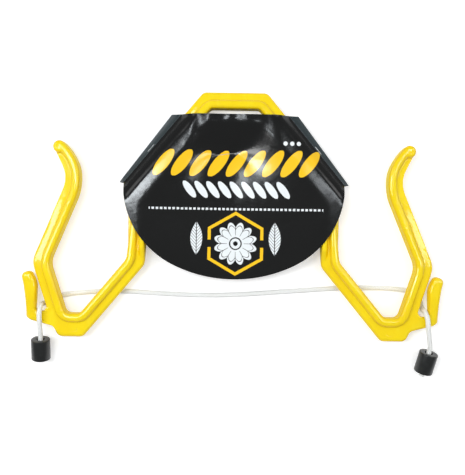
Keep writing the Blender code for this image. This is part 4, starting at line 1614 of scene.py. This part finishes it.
@dataclass
class Moulding:
    """The one-piece frame: a web with thick rails, hook tips, foot pads and cord cleats."""

    rail_width: float = 0.0096
    rail_round: float = 0.0036
    rim_steps: int = 6
    web_rim_steps: int = 4
    web_thickness: float = 0.008
    web_round: float = 0.0037
    web_inset: float = 0.0010
    overlap: float = 0.008
    voxel: float = 0.0007
    smoothing: int = 3
    triangles: int = 186000
    rim_share: float = 0.94
    crown: float = 0.80
    taper_steps: int = 8
    arch_corner_radius: float = 0.008
    arch_inner_corner_radius: float = 0.006
    shoulder_radius: float = 0.020
    leg_foot_radius: float = 0.013
    neck_rail_leg_width: float = 0.0067
    neck_rail_widening: float = 0.022
    ramp_start: float = 0.0055
    ramp_length: float = 0.013
    ramp_foot_share: float = 0.45
    leg_rail_top_width: float = 0.0050
    leg_rail_merge_drop: float = 0.0023
    leg_rail_merge_radius: float = 0.010
    hook_floor_radius: float = 0.008
    hook_kink_radius: float = 0.022
    hook_bend_radius: float = 0.054
    tip_back_radius: float = 0.030
    pad_radius: float = 0.008
    step_radius: float = 0.006
    pocket_radius: float = 0.0046
    pocket_share: float = 0.1
    finger_thickness: float = 0.0130
    finger_round: float = 0.0040
    finger_width: float = 0.0150
    finger_root_width: float = 0.0110
    finger_waist_radius: float = 0.020
    finger_waist_share: float = 0.6
    finger_waist_swell: float = 1.08
    finger_bend_radius: float = 0.016
    finger_end_share: float = 0.96
    heel_radius: float = 0.0065
    finger_ramp: float = math.radians(12)
    heel_lift: float = 0.0012
    finger_tip_rise: float = 0.0078
    finger_tip_lean: float = 0.0052
    finger_tip_radius: float = 0.0057
    gate_radius: float = 0.0021
    gate_rise: float = 0.0002
    gate_heights: tuple[float, float] = (0.0115, -0.0112)

    @property
    def pocket_side(self) -> float:
        """X of the cord pocket's outer wall, just inside the finger."""
        return PLAN.finger_side + self.finger_root_width * self.pocket_share

    def build(self) -> None:
        """Makes the frame, dresses it and puts it on its body."""
        parts = [self._web(), self._hook_rail(), self._neck_rail(), self._finger(), self._tip()]
        half = Bench.join("frame_half", parts)
        mirror = half.modifiers.new("other_half", "MIRROR")
        mirror.use_axis = (True, False, False)
        mirror.use_mirror_merge = False
        Bench.apply(half)
        item = Bench.join("frame_moulding", [half] + [self._gate_mark(side) for side in Side])
        skin = item.modifiers.new("one_skin", "REMESH")
        skin.mode = "VOXEL"
        skin.voxel_size = self.voxel
        skin.use_smooth_shade = True
        fillets = item.modifiers.new("moulded_fillets", "SMOOTH")
        fillets.factor = 0.5
        fillets.iterations = self.smoothing
        Bench.apply(item)
        thinned = item.modifiers.new("flat_faces_merged", "DECIMATE")
        thinned.ratio = self.triangles / self._triangle_count(item)
        Bench.apply(item)
        self._mark_level(item)
        dress(item, PlasticFinish().material())
        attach(item, "moulding")
        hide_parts("frame")
        log.info("frame: %d triangles", self._triangle_count(item))

    @staticmethod
    def _triangle_count(item: Item) -> int:
        """How many triangles a piece's faces come to."""
        return sum(len(face.vertices) - 2 for face in item.data.polygons)

    @staticmethod
    def _mark_level(item: Item) -> None:
        """Keeps how level the skin lies at each vertex: the plastic is duller on upright walls, and
        painted shade darkens its sloping flanks.
        """
        marks = item.data.attributes.new("level", "FLOAT", "POINT")
        marks.data.foreach_set("value", [abs(vert.normal.z) for vert in item.data.vertices])

    def _web(self) -> Item:
        """The flat web, an outline extruded about the frame's middle, with rounded rims."""
        piece = Bench.draw("web", self._web_outline(), MIDDLE - self.web_thickness / 2)
        piece.extrude(self.web_thickness)
        piece.round_rims(self.web_round, self.web_rim_steps)
        return piece.leave()

    def _hook_edge(self) -> list[Corner]:
        """The edge of the hook's opening, from the foot of the arch leg to the bend of the tip."""
        return [
            Corner(PLAN.splay_hook.meet(PLAN.leg_outer), self.leg_foot_radius),
            Corner(PLAN.splay_hook.meet(PLAN.hook_floor), self.hook_floor_radius),
            Corner(PLAN.hook_lower.meet(PLAN.hook_floor), self.hook_floor_radius),
            Corner(PLAN.hook_upper.meet(PLAN.hook_lower), self.hook_kink_radius),
            Corner(PLAN.tip.meet(PLAN.hook_upper), self.hook_bend_radius),
        ]

    def _neck_edge(self) -> list[Corner]:
        """The neck opening's edge, from its foot to the top of the arch."""
        return [
            Corner(PLAN.splay_neck.meet(PLAN.leg_inner), self.leg_foot_radius),
            Corner(PLAN.slant_inner.meet(PLAN.leg_inner), self.shoulder_radius),
            Corner(PLAN.slant_inner.meet(PLAN.top_inner), self.arch_inner_corner_radius),
        ]

    def _web_outline(self) -> list[Corner]:
        """The web of the right half. Under the rails it stops inside them."""
        inset = self.web_inset
        shoulder = Corner(PLAN.shoulder, self.shoulder_radius)
        tip = Corner(PLAN.tip.meet(PLAN.tip_back), PLAN.tip_radius)
        hook = [shoulder] + self._hook_edge() + [tip]
        outline = [
            Corner(Vector((-self.overlap, TOP))),
            Corner(PLAN.top_outer.meet(PLAN.slant_outer), self.arch_corner_radius),
            shoulder,
        ]
        outline += beside(hook, [inset] * len(hook))[1:-1]
        outline += [
            Corner(PLAN.tip.offset(inset).meet(PLAN.tip_back), PLAN.tip_radius - inset / 2),
            Corner(PLAN.tip_back.meet(PLAN.hook_upper_outer), self.tip_back_radius),
            Corner(PLAN.hook_upper_outer.meet(PLAN.hook_lower_outer), self.hook_kink_radius),
        ]
        outline += self._cleat_edge()
        neck = self._neck_edge()
        end = Corner(Vector((-self.overlap, neck[-1].point.y)))
        outline.append(neck[0])
        outline += beside([*neck, end], [inset] * 4)[1:]
        return outline

    def _cleat_edge(self) -> list[Corner]:
        """The web round the cord pocket and along the foot pad. It ends inside the finger."""
        pocket_side = self.pocket_side
        web_side = PLAN.finger_side + self.finger_root_width
        web_top = PLAN.throat.y - PLAN.pocket_depth / 2
        return [
            Corner(PLAN.hook_lower_outer.meet(PLAN.pocket_floor), self.pocket_radius),
            Corner(Vector((pocket_side, PLAN.pocket_floor.point.y)), self.pocket_radius),
            Corner(Vector((pocket_side, web_top))),
            Corner(Vector((web_side, web_top))),
            Corner(PLAN.base_edge.meet(Line((web_side, 0), 0)), self.heel_radius),
            Corner(PLAN.base_edge.meet(PLAN.pad_step), self.step_radius),
            Corner(PLAN.pad_step.meet(PLAN.pad_foot), self.pad_radius),
            Corner(PLAN.pad_start, self.pad_radius),
        ]

    def _tapered_bar(
        self, name: str, path: Sequence[Corner], half_widths: Sequence[float], taper: int
    ) -> Bench:
        """A bar whose half width changes between two corners of its path. Its crown is not yet flattened.

        Args:
            name: The piece's name.
            path: The corners of the bar's middle line.
            half_widths: Half the bar's width at each corner.
            taper: The corner after which the width changes.

        Returns:
            The bar with square rims, in edit mode.
        """
        first = path[taper].point
        last = path[taper + 1].point
        shares = [step / self.taper_steps for step in range(1, self.taper_steps)]
        between = [Corner(first.lerp(last, share)) for share in shares]
        growth = half_widths[taper + 1] - half_widths[taper]
        widths = [half_widths[taper] + growth * share for share in shares]
        path = [*path[: taper + 1], *between, *path[taper + 1 :]]
        half_widths = [*half_widths[: taper + 1], *widths, *half_widths[taper + 1 :]]
        height = RAIL_HEIGHT / self.crown
        piece = Bench.draw(name, both_sides(path, half_widths), MIDDLE - height / 2)
        piece.extrude(height)
        return piece

    def _rim_radius(self, y: float, narrow: tuple[float, float], wide: tuple[float, float]) -> float:
        """The rounding at one Y of a bar, from the Y and half width at each end of its taper."""
        share = max(0.0, min(1.0, (y - narrow[0]) / (wide[0] - narrow[0])))
        return self.rim_share * (narrow[1] + (wide[1] - narrow[1]) * share)

    def _hook_rail(self) -> Item:
        """The rail from the shoulder of the arch down the leg and round the hook to its tip."""
        half = self.rail_width / 2
        narrow = self.leg_rail_top_width / 2
        edge = [Corner(PLAN.shoulder)] + self._hook_edge() + [Corner(PLAN.tip.at(PLAN.tip_length))]
        path = beside(edge, [half] * len(edge))[1:]
        merge_x = PLAN.leg_inner.point.x + self.neck_rail_leg_width + narrow
        merge_y = PLAN.shoulder.y - self.leg_rail_merge_drop
        merge = Corner(Vector((merge_x, merge_y)), self.leg_rail_merge_radius)
        arch_rail = PLAN.slant_inner.offset(-half)
        end = Corner(arch_rail.at_height(merge.point.y + self.leg_rail_merge_radius))
        widths = [narrow, narrow] + [half] * len(path)
        piece = self._tapered_bar("hook_rail", [end, merge] + path, widths, 1)
        foot = path[0].point
        beyond = foot.x + half * 2

        def radius_at(place: Vector) -> float:
            """The rounding at a place: less up the leg, where the rail is narrow."""
            if place.x > beyond:
                return self.rim_share * half
            return self._rim_radius(place.y, (merge.point.y, narrow), (foot.y, half))

        return piece.round_tapered_rims(radius_at, self.rim_steps, self.crown)

    def _neck_rail(self) -> Item:
        """The rail along the neck opening, with the ramp at its foot."""
        narrow = self.neck_rail_leg_width / 2
        wide = self.rail_width / 2
        foot, shoulder, crown = self._neck_edge()
        start = Corner(foot.point + Vector((0, self.ramp_start)))
        widened = Corner(PLAN.slant_inner.at_height(shoulder.point.y + self.neck_rail_widening))
        chain = [start, shoulder, widened, crown, Corner(Vector((-self.overlap, crown.point.y)))]
        widths = [narrow, narrow, wide, wide, wide]
        path = beside(chain, widths)
        piece = self._tapered_bar("neck_rail", path, widths, 1)
        low = self.web_thickness * self.ramp_foot_share / self.crown
        slope = math.atan2(RAIL_HEIGHT / 2 / self.crown - low, self.ramp_length)
        self._cut_ramps(piece, start.point.y, low, slope)
        ends = ((path[1].point.y, narrow), (path[2].point.y, wide))
        return piece.round_tapered_rims(
            lambda place: self._rim_radius(place.y, *ends), self.rim_steps, self.crown
        )

    def _finger(self) -> Item:
        """The cleat finger, which thins towards its root until it is level with the web."""
        piece = Bench.draw("finger", self._finger_outline(), MIDDLE - self.finger_thickness / 2)
        piece.extrude(self.finger_thickness)
        self._cut_ramps(piece, PLAN.pocket_floor.point.y, self.web_thickness / 2, self.finger_ramp)
        piece.round_rims(self.finger_round, self.rim_steps)
        return piece.leave()

    @staticmethod
    def _cut_ramps(piece: Bench, y: float, low: float, slope: float) -> None:
        """Cuts a slab by two planes that rise and fall from the middle of the frame towards +Y.

        Args:
            piece: The slab, in edit mode.
            y: Where the planes are at their low height.
            low: That height, from the middle of the frame.
            slope: Their slope in radians.
        """
        for face in Face:
            bpy.ops.mesh.select_all(action="SELECT")
            bpy.ops.mesh.bisect(
                plane_co=(0.0, y, MIDDLE + face.value * low),
                plane_no=(0.0, -math.sin(slope), face.value * math.cos(slope)),
                use_fill=True,
                clear_outer=True,
            )

    def _finger_outline(self) -> list[Corner]:
        """The cleat finger from its root to its rounded tip."""
        wide = self.finger_width / 2
        root = self.finger_root_width / 2
        middle = PLAN.finger_side + wide
        root_middle = self.pocket_side + root
        throat = PLAN.throat.y
        tip_y = throat + self.finger_tip_rise + self.finger_tip_radius
        tip_round = self.finger_tip_radius * self.finger_end_share
        heel = PLAN.base_edge.meet(Line((root_middle, 0), 0)) + Vector((0, self.heel_lift))
        waist = Vector((root_middle, throat - PLAN.pocket_depth * self.finger_waist_share))
        path = [
            Corner(heel, root * self.finger_end_share),
            Corner(waist, self.finger_waist_radius),
            Corner(Vector((middle, throat)), self.finger_bend_radius),
            Corner(Vector((middle + self.finger_tip_lean, tip_y)), tip_round),
        ]
        return both_sides(path, [root, root * self.finger_waist_swell, wide, self.finger_tip_radius])

    def _tip(self) -> Item:
        """The round boss that ends a hook."""
        centre = (*PLAN.tip_centre, MIDDLE)
        piece = Bench.cylinder("hook_tip", centre, PLAN.tip_radius, RAIL_HEIGHT, 48)
        piece.round_rims(self.rail_round, self.rim_steps)
        return piece.leave()

    def _gate_mark(self, side: Side) -> Item:
        """The low stub on a hook rail where the plastic was fed into the mould."""
        height = RAIL_HEIGHT + 2 * self.gate_rise
        gate_y = self.gate_heights[0 if side is Side.LEFT else 1]
        place = PLAN.hook_upper.offset(self.rail_width / 2).at_height(gate_y)
        centre = (side.value * place.x, place.y, MIDDLE)
        piece = Bench.cylinder(f"gate_mark_{side.word}", centre, self.gate_radius, height, 24)
        piece.round_rims(self.gate_rise, 2)
        return piece.leave()


# Stoppers


@dataclass
class Stopper:
    """A thick rubber tube on a cord, with a wider socket in its foot for the knot."""

    edge: float = 0.0006
    bore: float = 0.0045
    socket: float = 0.0069
    depth: float = 0.0090
    sides: int = 64
    sharp_angle: float = 35.0

    def build(self, tail: Tail, rubber: Material) -> None:
        """Makes one stopper and puts it on its body.

        Args:
            tail: The cord end that it sits on.
            rubber: Its material.
        """
        word = tail.side.word
        centre = (0, 0, STOPPER_LENGTH / 2)
        name = f"rubber_stopper_{word}"
        piece = Bench.cylinder(name, centre, STOPPER_DIAMETER / 2, STOPPER_LENGTH, self.sides)
        self._bore(piece)
        self._edges(piece)
        item = piece.leave()
        turned = tail.axis.to_track_quat("Z", "Y").to_matrix().to_4x4()
        item.data.transform(Matrix.Translation(tail.foot) @ turned)
        Bench.smooth(item, self.sharp_angle)
        dress(item, rubber)
        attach(item, f"stop_{word}")
        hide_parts(f"stopper_{word}")
        log.info("%s stopper: %d faces", word, len(item.data.polygons))

    def _bore(self, piece: Bench) -> None:
        """Cuts the bore from above and the socket from below, and joins them with a step."""
        cuts = ((1, self.bore, self.depth - STOPPER_LENGTH), (-1, self.socket, self.depth))
        for sign, radius, drop in cuts:
            piece.pick(Kind.FACE, lambda face: face.normal.z * sign > 0.9)
            rim = (STOPPER_DIAMETER / 2 - radius) * math.cos(math.pi / self.sides)
            bpy.ops.mesh.inset(thickness=rim)
            piece.extrude(drop)
            bpy.ops.mesh.delete(type="FACE")
        piece.pick(Kind.EDGE, lambda edge: edge.is_boundary)
        bpy.ops.mesh.bridge_edge_loops()

    def _edges(self, piece: Bench) -> None:
        """Softens the outer rims and the mouths of the bore."""

        def at_end(edge: bmesh.types.BMEdge) -> bool:
            """Whether an edge lies on a rim of either end."""
            half = STOPPER_LENGTH / 2
            heights = [vert.co.z for vert in edge.verts]
            ends = max(abs(height - half) for height in heights) > half - 1e-5
            level = abs(heights[0] - heights[1]) < SAME_PLACE
            normals = [abs(face.normal.z) for face in edge.link_faces]
            return ends and level and min(normals) < 0.5 < max(normals)

        piece.pick(Kind.EDGE, at_end)
        bpy.ops.mesh.bevel(offset_type="OFFSET", offset=self.edge, segments=3, affect="EDGES")


# Sleeve


@dataclass(frozen=True)
class Fold:
    """A soft ridge that runs down the front panel from its top edge, widens and fades out."""

    top_x: float
    foot_x: float
    reach: float
    half_width: float
    height: float
    widening: float = 0.8

    def lift(self, x: float, fall: float) -> float:
        """How much the ridge lifts the card at a place.

        Args:
            x: The place's X.
            fall: How far it lies below the top edge.

        Returns:
            The lift, in metres.
        """
        share = max(0.0, min(1.0, fall / self.reach))
        middle = self.top_x + (self.foot_x - self.top_x) * share
        spread = self.half_width * (1 + self.widening * share)
        fade = (1 - share) ** 2 * (1 + 2 * share)
        return self.height * fade * math.exp(-(((x - middle) / spread) ** 2))


@dataclass
class Sleeve:
    """The card sleeve: a front and a back panel round the neck arch, and its staples."""

    card: float = 0.0006
    top_inset: float = 0.0066
    seam_top_margin: float = 0.0106
    seam_foot_margin: float = 0.0062
    seam_drop: float = 0.0023
    flap_drop: float = 0.1088
    flap_radius: float = 0.152
    side_radius: float = 0.100
    foot_notch: float = 0.0054
    crease: float = 0.0028
    slope: float = 0.957
    outline_steps: int = 28
    dimple_radius: float = 0.032
    dimple_flat: float = 0.0018
    seam_blend: float = 0.0045
    rail_reach: float = 0.0130
    slant_reach: float = 0.0270
    top_reach: float = 0.0345
    rail_bulge: float = 0.0009
    rail_margin: float = 0.0001
    highest: float = 0.0124
    highest_blend: float = 0.0010
    fold_start: float = 0.012
    drape: int = 10
    grid: float = 0.0019
    row_share: float = 0.866
    sharp_angle: float = 50.0
    wire: float = 0.0007
    wire_bend: float = 0.0006
    wire_sharp_angle: float = 60.0
    clinch: float = 0.0050
    centre_crown: float = 0.022
    centre_aside: float = -0.0088
    centre_drop: float = 0.0690
    centre_turn: float = 7.0
    side_crown: float = 0.0115
    side_drop: float = 0.0634
    side_setback: float = 0.0040
    folds: tuple[Fold, ...] = (
        Fold(0.0155, 0.0260, 0.092, 0.0100, 0.0016),
        Fold(0.0480, 0.0520, 0.058, 0.0085, 0.0015),
        Fold(-0.0060, -0.0130, 0.040, 0.0030, 0.0006),
        Fold(-0.0290, -0.0260, 0.052, 0.0075, 0.0012),
        Fold(-0.0470, -0.0560, 0.060, 0.0050, 0.0012),
    )

    def build(self) -> None:
        """Makes both panels and the three staples."""
        edge = CardEdgeFinish().material()
        crests = {Face.FRONT: RAIL_HEIGHT / 2 + GAP, Face.BACK: MIDDLE - self.card}
        names = {Face.FRONT: "card_front", Face.BACK: "card_back"}
        prints = {Face.FRONT: CardPrint(), Face.BACK: None}
        for face in Face:
            finish = CardFinish(f"{names[face]}_laminate", prints[face]).material()
            item = self._panel(f"{names[face]}_sheet", face, crests[face])
            dress(item, finish, edge)
            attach(item, "sleeve")
            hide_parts(names[face])
            log.info("%s: %d faces", names[face], len(item.data.polygons))
        steel = SteelFinish().material()
        for name, spot, heading, crown in self._staple_places():
            item = dress(self._staple(f"{name}_wire", spot, heading, crown), steel)
            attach(item, "sleeve")
            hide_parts(name)
        log.info("three staples")

    def _outline(self) -> list[Vector]:
        """The outline of a panel, clockwise: top edge, seams and the rounded flap below."""
        top = Line((0, TOP - BAR_WIDTH - self.top_inset), 90)
        upper = PLAN.slant_outer.offset(-self.seam_top_margin).meet(top)
        lower = PLAN.slant_outer.offset(-self.seam_foot_margin).at_height(PLAN.shoulder.y - self.seam_drop)
        flap_centre = Vector((0, PLAN.shoulder.y - self.flap_drop + self.flap_radius))
        side_x = lower.x - self.foot_notch - self.side_radius
        reach = self.flap_radius - self.side_radius
        side_centre = flap_centre + Vector((side_x, -math.sqrt(reach**2 - side_x**2)))
        change = math.degrees(math.atan2(side_x, flap_centre.y - side_centre.y))
        right = [upper, lower]
        steps = self.outline_steps
        for step in range(steps + 1):
            turn = heading_vector(90 + (90 - change) * step / steps)
            right.append(side_centre + turn * self.side_radius)
        for step in range(1, steps // 2 + 1):
            turn = heading_vector(180 - change * (1 - step / (steps // 2)))
            right.append(flap_centre + turn * self.flap_radius)
        return right + [Vector((-point.x, point.y)) for point in reversed(right[:-1])]

    def _crown_distance(self, x: float, y: float) -> float:
        """How far a place lies from the crown of the centre staple.

        Args:
            x: The place's X.
            y: The place's Y.

        Returns:
            The distance in the plan.
        """
        centre = Vector((self.centre_aside, TOP - self.centre_drop))
        along = heading_vector(90 - self.centre_turn)
        reach = Vector((x, y)) - centre
        share = max(-self.centre_crown / 2, min(self.centre_crown / 2, reach.dot(along)))
        return (reach - along * share).length

    def _height(self, x: float, y: float, face: Face, crest: float) -> float:
        """How far a panel's inner face stands off the middle of the frame.

        Args:
            x: The place's X.
            y: The place's Y.
            face: Which panel.
            crest: How high the panel stands over the rails.

        Returns:
            The height: least at the seams and at the centre staple.
        """
        inside = PLAN.slant_outer.inside(abs(x), y)
        seam = GAP / 2 + max(0.0, inside + self.crease) * self.slope
        pinch = max(0.0, self._crown_distance(x, y) - self.dimple_flat)
        if face is Face.FRONT:
            to_leg = PLAN.leg_outer.point.x - abs(x) - self.rail_reach
            to_rail = min(to_leg, inside - self.slant_reach, TOP - y - self.top_reach)
            eased = pinch / (pinch + max(0.0, to_rail) + self.rail_margin)
            crest += self.rail_bulge
        else:
            share = min(1.0, pinch / self.dimple_radius)
            eased = share * share * (3 - 2 * share)
        dimple = GAP / 2 + (crest - GAP / 2) * eased
        height = self._soft_least(seam, dimple, self.seam_blend)
        if face is Face.FRONT:
            height += self._rise(x, y, inside) * eased
            height = self._soft_least(height, self.highest, self.highest_blend)
        return max(GAP / 2, height)

    @staticmethod
    def _soft_least(first: float, second: float, blend: float) -> float:
        """The smaller of two heights, with a rounded change from one to the other."""
        near = max(0.0, blend - abs(first - second))
        return min(first, second) - near * near / (4 * blend)

    def _rise(self, x: float, y: float, inside: float) -> float:
        """How much the folds lift the front panel at a place that lies inside its slant."""
        fall = TOP - BAR_WIDTH - self.top_inset - y
        over_card = max(0.0, min(1.0, inside / self.fold_start))
        return over_card * sum(fold.lift(x, fall) for fold in self.folds)

    def _panel(self, name: str, face: Face, crest: float) -> Item:
        """One panel as a fine sheet, thickened outwards.

        Args:
            name: The piece's name.
            face: Which panel.
            crest: How high it stands over the rails.

        Returns:
            The panel, with its cut edge as a second material slot.
        """
        outline = self._outline()
        points = []
        for before, after in zip(outline, outline[1:] + outline[:1]):
            steps = max(1, round((after - before).length / self.grid))
            points += [before.lerp(after, step / steps) for step in range(steps)]
        count = len(points)
        edges = [(index, (index + 1) % count) for index in range(count)]
        edge_points = [point.copy() for point in points]
        width = max(point.x for point in outline)
        reach = int(width / self.grid) + 1
        for row in range(int(FRAME_LENGTH / self.grid)):
            y = outline[0].y - row * self.grid * self.row_share
            shift = self.grid / 2 if row % 2 else 0.0
            for column in range(-reach, reach + 1):
                place = Vector((column * self.grid + shift, y))
                if self._well_inside(place, edge_points):
                    points.append(place)
        verts, _, faces, *_ = delaunay_2d_cdt(points, edges, [list(range(count))], 1, 1e-7)
        work = bmesh.new()
        made = []
        for point in verts:
            height = self._height(point.x, point.y, face, crest)
            made.append(work.verts.new((point.x, point.y, MIDDLE + face.value * height)))
        for corners in faces:
            work.faces.new([made[index] for index in corners])
        inner = [vert for vert in made if not vert.is_boundary]
        for _ in range(self.drape if face is Face.FRONT else 0):
            bmesh.ops.smooth_vert(work, verts=inner, factor=0.5, use_axis_z=True)
        work.normal_update()
        for side in work.faces:
            if side.normal.z * face.value < 0:
                side.normal_flip()
        loose = [vert for vert in work.verts if not vert.link_faces]
        bmesh.ops.delete(work, geom=loose, context="VERTS")
        item = mesh_object(name, work)
        shell = item.modifiers.new("card", "SOLIDIFY")
        shell.thickness = self.card
        shell.offset = 1.0
        shell.use_even_offset = True
        shell.material_offset_rim = 1
        Bench.apply(item)
        Bench.smooth(item, self.sharp_angle)
        return item

    def _well_inside(self, place: Vector, edge_points: Sequence[Vector]) -> bool:
        """Whether a place lies inside the outline, and not close to its edge.

        Args:
            place: The place in the plan.
            edge_points: Closely spaced points of the outline.

        Returns:
            Whether the panel's mesh takes it.
        """
        nearest = min((place - point).length_squared for point in edge_points)
        if nearest < (self.grid * 0.6) ** 2:
            return False
        crossings = 0
        for before, after in zip(edge_points, edge_points[1:] + edge_points[:1]):
            if (before.y > place.y) != (after.y > place.y):
                share = (place.y - before.y) / (after.y - before.y)
                if before.x + (after.x - before.x) * share > place.x:
                    crossings += 1
        return crossings % 2 == 1

    def _staple_places(self) -> list[tuple[str, Vector, float, float]]:
        """Name, plan place, heading of the crown and crown length of each staple."""
        centre = Vector((self.centre_aside, TOP - self.centre_drop))
        spot = PLAN.slant_outer.offset(-self.side_setback).at_height(TOP - self.side_drop)
        return [
            ("staple_centre", centre, 90 - self.centre_turn, self.centre_crown),
            ("staple_right", spot, 180 - SLANT, self.side_crown),
            ("staple_left", Vector((-spot.x, spot.y)), SLANT, self.side_crown),
        ]

    def _staple(self, name: str, spot: Vector, heading: float, crown: float) -> Item:
        """A wire staple drawn as a chain of edges, rounded at its bends and given its thickness.

        Args:
            name: The piece's name.
            spot: The middle of its crown, in the plan.
            heading: The heading of its crown in degrees.
            crown: The length of its crown.

        Returns:
            The staple.
        """
        along = heading_vector(heading)
        half = crown / 2 - self.wire / 2
        front = GAP / 2 + self.card + GAP + self.wire / 2
        right = [(half - self.clinch, -front), (half, -front), (half, front)]
        left = [(-half, front), (-half, -front), (self.clinch - half, -front)]
        places = []
        for reach, rise in right + left:
            places.append(Vector((spot.x + along.x * reach, spot.y + along.y * reach, MIDDLE + rise)))
        piece = Bench.point(name, places[0])
        for before, after in zip(places, places[1:]):
            piece.pull(after - before)
        piece.pick(Kind.VERTEX, lambda vert: len(vert.link_edges) == 2)
        bpy.ops.mesh.bevel(offset_type="OFFSET", offset=self.wire_bend, segments=5, affect="VERTICES")
        bpy.ops.object.mode_set(mode="OBJECT")
        bpy.ops.object.convert(target="CURVE")
        curve = bpy.context.object
        curve.data.dimensions = "3D"
        curve.data.bevel_depth = self.wire / 2
        curve.data.bevel_resolution = 4
        curve.data.use_fill_caps = True
        bpy.ops.object.convert(target="MESH")
        item = bpy.context.object
        item.name = name
        Bench.smooth(item, self.wire_sharp_angle)
        return item


def main() -> None:
    """Builds the studio and every piece."""
    logging.basicConfig(level=logging.INFO, format="%(name)s: %(message)s")
    Studio().build()
    log.info("studio ready")
    Cordage().build()
    Moulding().build()
    rubber = RubberFinish().material()
    for tail in TAILS:
        Stopper().build(tail, rubber)
    Sleeve().build()


if __name__ == "__main__":
    main()
